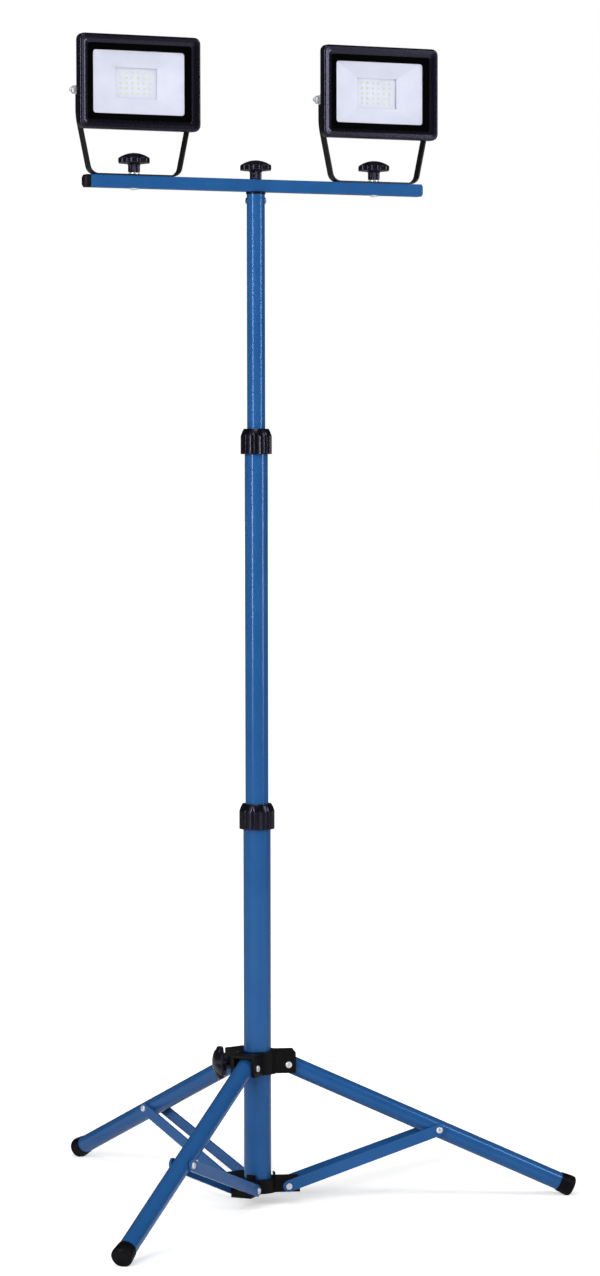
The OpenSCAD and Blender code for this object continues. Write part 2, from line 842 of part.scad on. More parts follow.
// Cast tray with cooling fins on its back
module housing(side) {
  spigot_w = glass_w;
  spigot_h = glass_h;
  cavity_w = window_w + 4 * reflector_t;
  cavity_h = window_h + 4 * reflector_t;
  fin_pitch = (housing_w - 2 * housing_round - fin_t) / (fin_count - 1);
  fin_span = housing_h - 2 * housing_round;
  color(black_paint)
    at_lamp(side)
      difference() {
        translate([0, 0, lamp_rise])
          difference() {
            union() {
              face_plate(spigot_w, spigot_h, opening_round, -gasket_rear, 0);
              face_plate(housing_w, housing_h, housing_round, -frame_back, housing_back);
              for (i = [0 : fin_count - 1])
                translate([(i - (fin_count - 1) / 2) * fin_pitch - fin_t / 2, 0, -fin_span / 2])
                  cube([fin_t, housing_back + fin_h, fin_span]);
            }
            difference() {
              face_plate(cavity_w, cavity_h, window_round, -lamp_front, housing_back - back_wall);
              face_plate(board_w, board_h, window_round, -board_rear, housing_back);
            }
            translate([-driver_w / 2 - face_gap, housing_back, -driver_h / 2 - fin_span])
              cube([driver_w + 2 * face_gap, 2 * fin_h, driver_h + face_gap + fin_span]);
          }
        for (arm = [-1, 1])
          translate([arm * housing_w / 2, 0, 0])
            rotate([0, 90, 0])
              cylinder(d = pivot_d + 2 * seat_fit, h = 2 * (tilt_bolt_in + face_gap), center = true);
      }
}

// Hexagon bolts with washers that hold a lamp between its bracket's arms
module tilt_bolts(side) {
  arm_out = arm_in + bracket_t + face_gap / 2;
  nut_face = arm_out + tilt_washer_h;
  bolt_in = housing_w / 2 - tilt_bolt_in;
  color(zinc_steel)
    at_lamp(side)
      for (arm = [-1, 1])
        rotate([0, arm * 90, 0]) {
          translate([0, 0, bolt_in]) cylinder(d = pivot_d, h = arm_out - bolt_in);
          translate([0, 0, arm_out]) cylinder(d = tilt_washer_d, h = tilt_washer_h);
          translate([0, 0, nut_face]) cylinder(d = tilt_nut_af / cos(30), h = tilt_nut_h, $fn = 6);
          translate([0, 0, nut_face + tilt_nut_h]) cylinder(d = pivot_d, h = tilt_end);
        }
}

// Frame round the glass, with a sloped outer edge and a lip that holds the glass
module front_frame(side) {
  slope_start = lamp_front - frame_slope;
  pocket_w = glass_w + 2 * seat_fit;
  pocket_h = glass_h + 2 * seat_fit;
  color(black_paint)
    at_lamp(side)
      translate([0, 0, lamp_rise])
        difference() {
          hull() {
            face_plate(lamp_w, lamp_h, lamp_round, -slope_start, -frame_back, $fn = 32);
            face_plate(lamp_w - frame_slope, lamp_h - frame_slope, lamp_round - frame_slope / 2,
              -lamp_front + frame_slope / 4, -frame_back, $fn = 32);
            face_plate(lamp_w - 2 * frame_slope, lamp_h - 2 * frame_slope, lamp_round - frame_slope / 2,
              -lamp_front, -frame_back, $fn = 32);
          }
          hull() {
            face_plate(opening_w, opening_h, opening_round, -glass_front - overcut, 0, $fn = 32);
            face_plate(opening_w + glass_sink, opening_h + glass_sink, opening_round,
              -lamp_front, 1 - lamp_front, $fn = 32);
            face_plate(opening_w + glass_sink, opening_h + glass_sink, opening_round,
              -lamp_front - overcut, -lamp_front, $fn = 32);
          }
          face_plate(pocket_w, pocket_h, opening_round + seat_fit, -glass_front, 0);
        }
}

module glass(side) {
  color(clear_glass)
    at_lamp(side)
      translate([0, 0, lamp_rise])
        face_plate(glass_w, glass_h, opening_round, -glass_front, -glass_rear);
}

// Flat black seal that shows through the glass as a border
module gasket(side) {
  color(black_plastic)
    at_lamp(side)
      translate([0, 0, lamp_rise])
        difference() {
          face_plate(glass_w, glass_h, opening_round, -glass_rear, -gasket_rear);
          face_plate(window_w, window_h, window_round, -lamp_front, 0);
        }
}

// Flared tray from the window down to the chips
module reflector(side) {
  rim = 2 * reflector_t;
  color(white_reflector)
    at_lamp(side)
      translate([0, 0, lamp_rise])
        difference() {
          hull() {
            face_plate(window_w + rim, window_h + rim, window_round,
              -gasket_rear, reflector_t - gasket_rear);
            face_plate(chip_field_w + rim, chip_field_h + rim, rim,
              -board_front - reflector_t, -board_front);
          }
          hull() {
            face_plate(window_w, window_h, window_round, -gasket_rear - overcut, -gasket_rear);
            face_plate(chip_field_w, chip_field_h, reflector_t, -board_front, -board_front + overcut);
          }
        }
}

module led_board(side) {
  color(board_white)
    at_lamp(side)
      translate([0, 0, lamp_rise])
        face_plate(board_w, board_h, window_round, -board_front, -board_rear);
}

module led_chips(side) {
  color(chip_yellow)
    at_lamp(side)
      for (col = [0 : chip_cols - 1], row = [0 : chip_rows - 1])
        translate([
          (col - (chip_cols - 1) / 2) * chip_pitch_x - chip_size / 2,
          -board_front - chip_t,
          lamp_rise + (row - (chip_rows - 1) / 2) * chip_pitch_z - chip_size / 2
        ])
          cube([chip_size, chip_t, chip_size]);
}

// Box for the driver on the back of the housing, open towards it
module driver_box(side) {
  color(black_plastic)
    at_lamp(side)
      translate([0, 0, lamp_rise])
        difference() {
          face_plate(driver_w, driver_h, housing_round / 2, housing_back, housing_back + driver_d);
          face_plate(driver_w - 2 * driver_wall, driver_h - 2 * driver_wall, housing_round / 4,
            housing_back - overcut, housing_back + driver_d - driver_wall);
          translate([gland_x, gland_y, -driver_h])
            cylinder(d = gland_bore + 2 * driver_wall + 2 * seat_fit, h = driver_h);
        }
}

// Round gland under the driver box, with the bore for the supply lead
module cable_gland(side) {
  color(black_plastic)
    at_lamp(side)
      translate([gland_x, gland_y, gland_z])
        difference() {
          union() {
            translate([0, 0, -gland_len]) cylinder(d = gland_d, h = gland_len);
            cylinder(d = gland_bore + 2 * driver_wall, h = driver_wall);
          }
          translate([0, 0, -gland_len - overcut])
            cylinder(d = gland_bore, h = gland_len + driver_wall + 2 * overcut);
        }
}

base_tube();
lower_hub();
hub_pivot_screws();
lock_bush(base_tube_d, middle_tube_d, base_rim);  // lower_lock_bush
lock_collar(base_tube_d, middle_tube_d, base_rim);  // lower_lock_collar
middle_tube();
tube_guide(base_tube_d, middle_tube_d, middle_z);  // middle_tube_guide
lock_bush(middle_tube_d, top_tube_d, middle_rim);  // upper_lock_bush
lock_collar(middle_tube_d, top_tube_d, middle_rim);  // upper_lock_collar
top_tube();
tube_guide(middle_tube_d, top_tube_d, top_z);  // top_tube_guide
top_plug();
plug_rivet();
top_stud();
top_knob();
crossbar();
left_end_cap();
right_end_cap();
lamp_bolts();
leg_collar();
leg_pivot_screws();
clamp_screw();
clamp_knob();
for (i = [0 : len(legs) - 1]) {
  leg(i);
  foot(i);
  stays(i);
  stay_screws(i);
}
for (side = sides) {
  bracket(side[1]);
  lamp_knob(side[1]);
  housing(side[1]);
  tilt_bolts(side[1]);
  front_frame(side[1]);
  glass(side[1]);
  gasket(side[1]);
  reflector(side[1]);
  led_board(side[1]);
  led_chips(side[1]);
  driver_box(side[1]);
  cable_gland(side[1]);
}
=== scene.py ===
import json
from math import asin, cos, pi, radians, sin, tau

import bmesh
import bpy
from mathutils import Matrix, Vector


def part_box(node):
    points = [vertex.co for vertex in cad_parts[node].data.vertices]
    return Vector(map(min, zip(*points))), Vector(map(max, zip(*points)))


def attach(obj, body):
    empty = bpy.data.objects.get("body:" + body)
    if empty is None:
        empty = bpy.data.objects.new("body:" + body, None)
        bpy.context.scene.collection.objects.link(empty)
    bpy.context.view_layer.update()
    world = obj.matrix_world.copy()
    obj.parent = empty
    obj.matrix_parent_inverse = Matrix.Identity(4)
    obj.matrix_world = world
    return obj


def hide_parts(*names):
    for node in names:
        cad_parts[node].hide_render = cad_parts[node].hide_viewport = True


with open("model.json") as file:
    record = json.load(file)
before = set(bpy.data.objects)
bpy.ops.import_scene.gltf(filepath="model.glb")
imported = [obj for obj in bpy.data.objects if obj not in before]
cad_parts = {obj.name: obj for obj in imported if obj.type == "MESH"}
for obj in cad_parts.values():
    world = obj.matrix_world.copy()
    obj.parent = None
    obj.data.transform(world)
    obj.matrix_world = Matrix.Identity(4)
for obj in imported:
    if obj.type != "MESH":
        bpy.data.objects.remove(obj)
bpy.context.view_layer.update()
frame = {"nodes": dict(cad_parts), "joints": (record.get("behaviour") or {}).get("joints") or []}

mm = 0.001

# Base tube: a 38 mm welded steel tube with a baked powder coat.
# It stands in the hub, carries the rest of the mast and is the rail of the leg collar.


def linear(code):
    """Linear colour of an sRGB hex code."""
    parts = [int(code[i:i + 2], 16) / 255 for i in (1, 3, 5)]
    return [p / 12.92 if p <= 0.04045 else ((p + 0.055) / 1.055) ** 2.4 for p in parts] + [1]


def add_node(tree, kind, inputs, **settings):
    """Adds a shader node, sets it, and fills or links its inputs."""
    made = tree.nodes.new(kind)
    for name, value in settings.items():
        setattr(made, name, value)
    for socket, value in inputs.items():
        if isinstance(value, bpy.types.NodeSocket):
            tree.links.new(value, made.inputs[socket])
        else:
            made.inputs[socket].default_value = value
    return made


def start_material(name):
    """A new material with its node tree, its shader and the place of a point on the object."""
    material = bpy.data.materials.new(name)
    material.use_nodes = True
    tree = material.node_tree
    place = add_node(tree, "ShaderNodeTexCoord", {}).outputs["Object"]
    return material, tree, tree.nodes["Principled BSDF"], place


def mottle(tree, shader, place, patch, detail, tones, stops=(0, 1)):
    """Lets the colour drift between two tones in patches of a size, and gives the pattern."""
    noise = add_node(tree, "ShaderNodeTexNoise",
                     {"Vector": place, "Scale": 1 / patch, "Detail": detail})
    tint = add_node(tree, "ShaderNodeValToRGB", {"Fac": noise.outputs["Fac"]})
    for element, stop, tone in zip(tint.color_ramp.elements, stops, tones):
        element.position = stop
        element.color = linear(tone)
    tree.links.new(tint.outputs["Color"], shader.inputs["Base Color"])
    return noise.outputs["Fac"]


def grain_skin(tree, shader, place, grit, detail, gloss, relief):
    """Lets a fine grain vary the roughness between two values and stand out in relief."""
    noise = add_node(tree, "ShaderNodeTexNoise",
                     {"Vector": place, "Scale": 1 / grit, "Detail": detail})
    grain = noise.outputs["Fac"]
    rough = add_node(tree, "ShaderNodeMapRange",
                     {"Value": grain, "To Min": gloss[0], "To Max": gloss[1]})
    bump = add_node(tree, "ShaderNodeBump",
                    {"Height": grain, "Strength": relief[0], "Distance": relief[1]})
    tree.links.new(rough.outputs["Result"], shader.inputs["Roughness"])
    tree.links.new(bump.outputs["Normal"], shader.inputs["Normal"])


weld = 0.001 * mm


def lathe(profile, steps=96, closed=True):
    """Turns (radius, height) points round Z; an open row of them starts and ends on the axis."""
    bm = bmesh.new()
    points = [bm.verts.new((r, 0, z)) for r, z in profile]
    edges = [bm.edges.new(pair) for pair in zip(points, points[1:])]
    if closed:
        edges.append(bm.edges.new((points[-1], points[0])))
    bmesh.ops.spin(bm, geom=points + edges, axis=(0, 0, 1), cent=(0, 0, 0),
                   angle=tau, steps=steps, use_merge=True)
    bmesh.ops.remove_doubles(bm, verts=bm.verts, dist=weld)
    bmesh.ops.recalc_face_normals(bm, faces=bm.faces)
    return bm


def soften(bm, radius, segments=2, angle=30):
    """Rounds every edge that is sharper than the angle."""
    sharp = [e for e in bm.edges if e.is_manifold and e.calc_face_angle() > radians(angle)]
    bmesh.ops.bevel(bm, geom=sharp, offset=radius, offset_type="OFFSET", segments=segments,
                    profile=0.5, affect="EDGES", material=-1, clamp_overlap=True)


def finish_piece(name, bm, body, slot, node, *materials):
    """Makes the mesh a piece that rides on a body and stands for the CAD node it replaces."""
    mesh = bpy.data.meshes.new(name)
    bm.to_mesh(mesh)
    bm.free()
    mesh.shade_smooth()
    mesh.set_sharp_from_angle(angle=radians(40))
    for material in materials:
        mesh.materials.append(material)
    piece = bpy.data.objects.new(name, mesh)
    bpy.context.scene.collection.objects.link(piece)
    piece.modifiers.new("flat_faces_stay_flat", "WEIGHTED_NORMAL").keep_sharp = True
    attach(piece, body)
    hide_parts(node)


# Blue powder coat on steel: a sprayed and baked film, smooth but for a fine orange peel that
# softens its highlights. The film's colour drifts a little along a tube.
blue_coat, tree, shader, place = start_material("blue_powder_coat")
mottle(tree, shader, place, 70 * mm, 3, ("#1C4C81", "#225389"), stops=(0.3, 0.7))
grain_skin(tree, shader, place, 2.2 * mm, 2, gloss=(0.14, 0.22), relief=(0.08, 0.2 * mm))
shader.inputs["Specular Tint"].default_value = linear("#A8C8FF")

tube_wall = 1.2 * mm


def mast_tube(name, node, body):
    """An open tube on the mast's axis, as wide and long as its CAD node, with its rims deburred."""
    low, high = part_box(node)
    r = (high.y - low.y) / 2
    bm = lathe([(r - tube_wall, low.z), (r, low.z), (r, high.z), (r - tube_wall, high.z)])
    soften(bm, 0.3 * mm)
    finish_piece(name, bm, body, "blue_paint", node, blue_coat)


mast_tube("coated_base_tube", "base_tube", "mast_base")

# Hub: one black moulding that closes the foot of the mast, with an arm for each pair of stays.
# Its edges are rounded as a mould leaves them, and a tab stands at the root of each arm.

# Glass-filled nylon: moulded in a spark-eroded tool, so it has a fine even grain and hardly any
# sheen. The grain is drawn at 1.2 mm, coarser than the real one, so that it shows at all.
filled_nylon, tree, shader, place = start_material("black_glass_filled_nylon")
mottle(tree, shader, place, 35 * mm, 2, ("#050405", "#0A0808"), stops=(0.35, 0.7))
grain_skin(tree, shader, place, 1.2 * mm, 4, gloss=(0.34, 0.46), relief=(0.08, 0.15 * mm))
shader.inputs["Specular IOR Level"].default_value = 0.12

hair = 0.01 * mm


def copy_of(node):
    """The mesh of a CAD node with its triangles merged into whole faces."""
    bm = bmesh.new()
    bm.from_mesh(frame["nodes"][node].data)
    bmesh.ops.remove_doubles(bm, verts=bm.verts, dist=hair)
    bmesh.ops.dissolve_limit(bm, angle_limit=radians(0.5), verts=bm.verts, edges=bm.edges)
    return bm


bm = copy_of("lower_hub")
soften(bm, 0.7 * mm)
finish_piece("moulded_hub", bm, "mast_base", "black_plastic", "lower_hub", filled_nylon)

# Pivot screws of the stays: zinc-plated pan heads with a cross recess at both ends of a pin.
# They go through the hub's arms, and the strips of the stays turn on them.

# Zinc plate on steel: bright under a milky passivated film, dulled in patches by handling.
zinc, tree, shader, place = start_material("zinc_plated_steel")
patch = mottle(tree, shader, place, 4 * mm, 3, ("#DADCE0", "#F2F3F5"), stops=(0.35, 0.7))
gloss = add_node(tree, "ShaderNodeMapRange", {"Value": patch, "To Min": 0.42, "To Max": 0.28})
shader.inputs["Metallic"].default_value = 0.6
tree.links.new(gloss.outputs["Result"], shader.inputs["Roughness"])

screw_d = 6 * mm
head_d = 9 * mm
head_h = 2.5 * mm
head_round = 0.6 * head_h
recess_reach = 2.7 * mm
recess_half_w = 0.9 * mm
recess_depth = 1.9 * mm
recess_taper = 0.6


def pan_head():
    """A domed screw head standing on its seat, with a tapered cross recess in its crown."""
    bm = bmesh.new()
    bmesh.ops.create_circle(bm, cap_ends=True, segments=32, radius=head_d / 2)
    raised = bmesh.ops.extrude_face_region(bm, geom=bm.faces[:])["geom"]
    top = [v for v in raised if isinstance(v, bmesh.types.BMVert)]
    bmesh.ops.translate(bm, vec=(0, 0, head_h), verts=top)
    rim = [e for e in bm.edges if all(v.co.z > head_h / 2 for v in e.verts)]
    bmesh.ops.bevel(bm, geom=rim, offset=head_round, offset_type="OFFSET", segments=4,
                    profile=0.5, affect="EDGES", material=-1)
    crown = [f for f in bm.faces if all(v.co.z > head_h - hair for v in f.verts)]
    bmesh.ops.inset_region(bm, faces=crown, thickness=head_d / 2 - head_round - recess_reach)
    for plane in ((1, 0, 0), (-1, 0, 0), (0, 1, 0), (0, -1, 0)):
        inner = [f for f in bm.faces if all(v.co.xy.length < recess_reach + hair for v in f.verts)
                 and f.calc_center_median().z > head_h / 2]
        edges = list(dict.fromkeys(e for f in inner for e in f.edges))
        verts = list(dict.fromkeys(v for f in inner for v in f.verts))
        bmesh.ops.bisect_plane(bm, geom=inner + edges + verts,
                               plane_co=Vector(plane) * recess_half_w, plane_no=plane)
    cross = []
    for face in bm.faces:
        centre = face.calc_center_median()
        if centre.z > head_h - hair and centre.xy.length < recess_reach:
            if min(abs(centre.x), abs(centre.y)) < recess_half_w:
                cross.append(face)
    sunk = bmesh.ops.extrude_face_region(bm, geom=cross)["geom"]
    bmesh.ops.delete(bm, geom=cross, context="FACES")
    floor = [v for v in sunk if isinstance(v, bmesh.types.BMVert)]
    bmesh.ops.translate(bm, vec=(0, 0, -recess_depth), verts=floor)
    bmesh.ops.scale(bm, vec=(recess_taper, recess_taper, 1), verts=floor)
    bmesh.ops.recalc_face_normals(bm, faces=bm.faces)
    return bm


def move(bm, place):
    """Moves a whole mesh to its place."""
    bmesh.ops.transform(bm, matrix=place, verts=bm.verts)


def add_part(bm, part, place):
    """Sets a finished part into a mesh at its place."""
    mesh = bpy.data.meshes.new("part")
    move(part, place)
    part.to_mesh(mesh)
    part.free()
    bm.from_mesh(mesh)
    bpy.data.meshes.remove(mesh)


def seat(at, up, side=Vector((0, 0, 1))):
    """The move that stands a part on a point, with its Z along up and its X near side."""
    up = Vector(up).normalized()
    x = (Vector(side) - up * up.dot(Vector(side))).normalized()
    turn = Matrix((x, up.cross(x), up)).transposed().to_4x4()
    return Matrix.Translation(at) @ turn


def plain_pin(start, end):
    """A round pin along Z."""
    r = screw_d / 2
    return lathe([(0, start), (r, start), (r, end), (0, end)], steps=24, closed=False)


def cross_pin(bm, at, axis, half_length):
    """A pin through a point with a pan head on each end, the recesses left at different turns."""
    axis = Vector(axis)
    add_part(bm, plain_pin(-half_length, half_length), seat(at, axis))
    for end, turn in ((1, 0.35), (-1, 0.9)):
        spin = Matrix.Rotation(turn, 4, "Z")
        add_part(bm, pan_head(), seat(Vector(at) + axis * end * half_length, axis * end) @ spin)


joints = {joint["name"]: joint for joint in frame["joints"]}
leg_names = ("right", "back", "front")
stay_pin_half = 19.15 * mm

bm = bmesh.new()
for name in leg_names:
    pivot = joints[name + "_stay_fold"]
    cross_pin(bm, pivot["pos_m"], pivot["axis"], stay_pin_half)
finish_piece("stay_pivot_pins", bm, "mast_base", "zinc_steel", "hub_pivot_screws", zinc)

# Twist locks: a split bush sits on the rim of each outer tube, and a fluted collar turns on it
# and squeezes it on the tube inside. Both are moulded in plain black nylon.

# Plain nylon: moulded in a polished tool, so its skin is smooth and shines along every rib.
# Its grain is drawn at 1.2 mm too.
black_nylon, tree, shader, place = start_material("black_moulded_nylon")
mottle(tree, shader, place, 35 * mm, 2, ("#050408", "#09070D"), stops=(0.35, 0.7))
grain_skin(tree, shader, place, 1.2 * mm, 4, gloss=(0.2, 0.3), relief=(0.06, 0.15 * mm))
shader.inputs["Specular IOR Level"].default_value = 0.4
shader.inputs["Specular Tint"].default_value = linear("#DCD8FF")


def shell(outlines, count, closed):
    """A skin through a row of outlines, each of which gives the place of point i of count."""
    bm = bmesh.new()
    ring = bmesh.ops.create_circle(bm, segments=count, radius=1)["verts"]
    order = {vert: i for i, vert in enumerate(ring)}
    first = edges = bm.edges[:]
    for step, outline in enumerate(outlines):
        if step:
            made = bmesh.ops.extrude_edge_only(bm, edges=edges)["geom"]
            fresh = [v for v in made if isinstance(v, bmesh.types.BMVert)]
            pairs = [(v, e.other_vert(v)) for v in fresh for e in v.link_edges]
            order = {v: order[old] for v, old in pairs if old in order}
            edges = [e for e in made
                     if isinstance(e, bmesh.types.BMEdge) and all(v in order for v in e.verts)]
        for vert, i in order.items():
            vert.co = outline(i)
    if closed:
        bmesh.ops.bridge_loops(bm, edges=first + edges)
    else:
        bmesh.ops.holes_fill(bm, edges=bm.edges)
    bmesh.ops.remove_doubles(bm, verts=bm.verts, dist=weld)
    bmesh.ops.recalc_face_normals(bm, faces=bm.faces)
    return bm


flutes = 14
flute_points = 14
flute_depth = 1.3 * mm
lock_wall = 3.4 * mm
lock_shoulder = 9.5 * mm
lock_taper = 4.6 * mm
lock_roof = 3 * mm
lock_play = 0.5 * mm


def fluted_ring(radius, depth, z):
    """A round outline with narrow flutes pressed into it."""
    def outline(i):
        angle = tau * i / (flutes * flute_points)
        reach = radius - depth * max(0, cos(flutes * angle)) ** 3
        return (reach * cos(angle), reach * sin(angle), z)
    return outline


def twist_collar(name, node, body, inner_tube):
    """A collar with flutes that run out on its sloped shoulder, bored for its bush and inner tube."""
    low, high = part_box(node)
    bottom, top = low.z, high.z
    r = (high.y - low.y) / 2
    bore = r - lock_wall
    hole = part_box(inner_tube)[1].y + lock_play
    lip = r - lock_taper
    shoulder = top - lock_shoulder
    rings = [
        (bore + 0.4 * mm, 0, bottom),
        (r - 0.7 * mm, 0.5 * flute_depth, bottom),
        (r - 0.2 * mm, flute_depth, bottom + 0.2 * mm),
        (r, flute_depth, bottom + 0.8 * mm),
        (r, flute_depth, shoulder - 1.2 * mm),
        (r - 0.2 * mm, 0.8 * flute_depth, shoulder - 0.2 * mm),
        (r - 0.7 * mm, 0.3 * flute_depth, shoulder + 1.4 * mm),
        ((r + lip) / 2, 0, (shoulder + top) / 2 + 0.9 * mm),
        (lip + 0.5 * mm, 0, top - 0.7 * mm),
        (lip, 0, top),
        (hole + 0.3 * mm, 0, top),
        (hole, 0, top - 0.4 * mm),
        (hole, 0, top - lock_roof),
        (bore, 0, top - lock_roof),
        (bore, 0, bottom + 0.4 * mm),
    ]
    bm = shell([fluted_ring(*ring) for ring in rings], flutes * flute_points, closed=True)
    finish_piece(name, bm, body, "black_plastic", node, black_nylon)


def dress(node, material):
    """Gives a CAD node that shows little or nothing its real material."""
    for slot in frame["nodes"][node].material_slots:
        slot.material = material


dress("lower_lock_bush", black_nylon)
dress("upper_lock_bush", black_nylon)
twist_collar("lower_twist_collar", "lower_lock_collar", "lower_lock", "middle_tube")
twist_collar("upper_twist_collar", "upper_lock_collar", "upper_lock", "top_tube")

# Middle and top tubes: the same coated steel tube in 32 and 25 mm.
# Each has a moulded guide ring on its foot, which runs inside the tube below.

mast_tube("coated_middle_tube", "middle_tube", "middle_mast")
mast_tube("coated_top_tube", "top_tube", "top_mast")
dress("middle_tube_guide", black_nylon)
dress("top_tube_guide", black_nylon)

# Head of the mast: a flanged nylon plug driven into the top tube and held by a cross rivet.
# A stud stands in the plug and goes up through the crossbar.

plug_fit = 0.05 * mm
plug_chamfer = 1 * mm
stud_r = 4 * mm
stud_hole = 4 * mm
low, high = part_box("top_plug")
tube_r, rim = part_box("top_tube")[1].yz
flange_r = (high.y - low.y) / 2
plug_r = tube_r - tube_wall - plug_fit
hole_r, hole_floor = stud_r + plug_fit, rim - stud_hole
bm = lathe([
    (0, low.z), (plug_r - plug_chamfer, low.z), (plug_r, low.z + plug_chamfer), (plug_r, rim),
    (flange_r, rim), (flange_r, high.z), (hole_r, high.z), (hole_r, hole_floor), (0, hole_floor),
], closed=False)
soften(bm, 0.5 * mm)
finish_piece("flanged_plug", bm, "top_mast", "black_plastic", "top_plug", filled_nylon)

# Bare steel: drawn wire headed cold, grey and bright, with a faint mottle from the tool.
bare_steel, tree, shader, place = start_material("cold_headed_steel")
mottle(tree, shader, place, 1.5 * mm, 3, ("#7C7E84", "#A2A4AA"))
shader.inputs["Metallic"].default_value = 1
shader.inputs["Roughness"].default_value = 0.25

low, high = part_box("plug_rivet")
rivet_r = 2.5 * mm
rivet_head_r = (high.z - low.z) / 2
rivet_head_h = 2 * mm
rivet_turn = radians(25)
profile = [(0, -tube_r - rivet_head_h)]
for a in (0.4, 0.8, 1.2, pi / 2):
    profile.append((rivet_head_r * sin(a), -tube_r - rivet_head_h * cos(a)))
profile += [(rivet_r, -tube_r), (rivet_r, tube_r)]
for a in (0, 0.4, 0.8, 1.2):
    profile.append((rivet_head_r * cos(a), tube_r + rivet_head_h * sin(a)))
profile.append((0, tube_r + rivet_head_h))
bm = lathe(profile, steps=40, closed=False)
move(bm, seat((0, 0, (low.z + high.z) / 2), (cos(rivet_turn), -sin(rivet_turn), 0)))
finish_piece("mast_head_rivet", bm, "top_mast", "zinc_steel", "plug_rivet", bare_steel)

thread_pitch = 1.25 * mm
thread_depth = 0.6 * mm


def threaded_rod(bottom, top, r):
    """A rod along Z with the crests and roots of a thread."""
    profile = [(0, bottom)]
    for turn in range(int((top - bottom) / thread_pitch)):
        profile.append((r - thread_depth, bottom + turn * thread_pitch))
        profile.append((r, bottom + (turn + 0.5) * thread_pitch))
    profile += [(r - thread_depth, top), (0, top)]
    return lathe(profile, steps=32, closed=False)


low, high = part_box("top_stud")
bm = threaded_rod(low.z, high.z, stud_r)
finish_piece("mast_head_stud", bm, "top_mast", "zinc_steel", "top_stud", zinc)

# Crossbar: a 17 mm square steel tube in the same blue coat, drilled for the stud and two lamp
# bolts. It swings on the stud of the mast head.

low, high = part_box("crossbar")
bar_top = high.z
bm = bmesh.new()
bmesh.ops.create_cube(bm, size=1)
move(bm, Matrix.Translation((low + high) / 2) @ Matrix.Diagonal((*(high - low), 1)))
long_edges = [e for e in bm.edges if abs(e.verts[0].co.x - e.verts[1].co.x) > high.z - low.z]
bmesh.ops.bevel(bm, geom=long_edges, offset=1.6 * mm, offset_type="OFFSET", segments=5,
                profile=0.5, affect="EDGES", material=-1)
ends = [f for f in bm.faces if abs(f.normal.x) > 0.9]
bmesh.ops.inset_individual(bm, faces=ends, thickness=tube_wall)
bore = [e for f in ends for e in f.edges]
bmesh.ops.delete(bm, geom=ends, context="FACES_ONLY")
bmesh.ops.bridge_loops(bm, edges=bore)
bmesh.ops.recalc_face_normals(bm, faces=bm.faces)
finish_piece("coated_crossbar", bm, "crossbar", "blue_paint", "crossbar", blue_coat)

# End caps of the crossbar: chamfered vinyl plugs pushed into the tube, black on the left and blue
# on the right. The blue one went through the paint line with the bar.

# Soft vinyl: moulded, dull, a little dusty in the hollows.
black_vinyl, tree, shader, place = start_material("black_soft_vinyl")
dust = mottle(tree, shader, place, 9 * mm, 5, ("#08070A", "#100F13"), stops=(0.4, 0.75))
bump = add_node(tree, "ShaderNodeBump", {"Height": dust, "Strength": 0.1, "Distance": 0.3 * mm})
shader.inputs["Roughness"].default_value = 0.45
shader.inputs["Specular IOR Level"].default_value = 0.08
tree.links.new(bump.outputs["Normal"], shader.inputs["Normal"])

cap_finish = {"left": ("black_plastic", black_vinyl), "right": ("blue_paint", blue_coat)}
for side, (slot, material) in cap_finish.items():
    bm = copy_of(side + "_end_cap")
    soften(bm, 0.5 * mm)
    finish_piece(side + "_bar_cap", bm, "crossbar", slot, side + "_end_cap", material)

# Lamp bolts: carriage bolts with low domed heads, put in from under the bar.
# Each stands up through a bracket and a washer into a star knob.


def flat_washer(bore_r, r, bottom, thick, edge):
    """A stamped washer lying at a height along Z, with its edges rounded."""
    top = bottom + thick
    bm = lathe([(bore_r, bottom), (r, bottom), (r, top), (bore_r, top)], steps=40)
    soften(bm, edge)
    return bm


low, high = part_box("lamp_bolts")
knob_low, knob_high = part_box("right_lamp_knob")
lamp_x = (knob_low.x + knob_high.x) / 2
bolt_head_r = high.x - lamp_x
bolt_head_h = 2.4 * mm
strap_t = 2 * mm
strap_top = bar_top + strap_t - low.z + 0.1 * mm
bm = bmesh.new()
for side in (-1, 1):
    profile = [(0, 0)]
    for a in (0.3, 0.6, 0.9, 1.2, pi / 2):
        profile.append((bolt_head_r * sin(a), bolt_head_h * (1 - cos(a))))
    profile.append((0, bolt_head_h))
    at = Matrix.Translation((side * lamp_x, 0, low.z))
    add_part(bm, lathe(profile, steps=40, closed=False), at)
    add_part(bm, threaded_rod(bolt_head_h, high.z - low.z, stud_r), at)
    add_part(bm, flat_washer(stud_r + 0.2 * mm, 7.5 * mm, strap_top, 1.6 * mm, 0.3 * mm), at)
finish_piece("lamp_carriage_bolts", bm, "crossbar", "zinc_steel", "lamp_bolts", zinc)

# Star knobs: six-lobed heads moulded on a ribbed neck, with a crowned top and a slightly conical
# underside. One clamps the crossbar, one each bracket, and one the leg collar on the base tube.

# Knob plastic: black phenolic with a satin skin, which shines on the front of each lobe.
# Its grain is drawn at 1.2 mm too.
knob_plastic, tree, shader, place = start_material("satin_black_phenolic")
mottle(tree, shader, place, 25 * mm, 2, ("#060509", "#0A080E"), stops=(0.35, 0.7))
grain_skin(tree, shader, place, 1.2 * mm, 4, gloss=(0.26, 0.34), relief=(0.05, 0.15 * mm))
shader.inputs["Specular Tint"].default_value = linear("#D8D8FF")

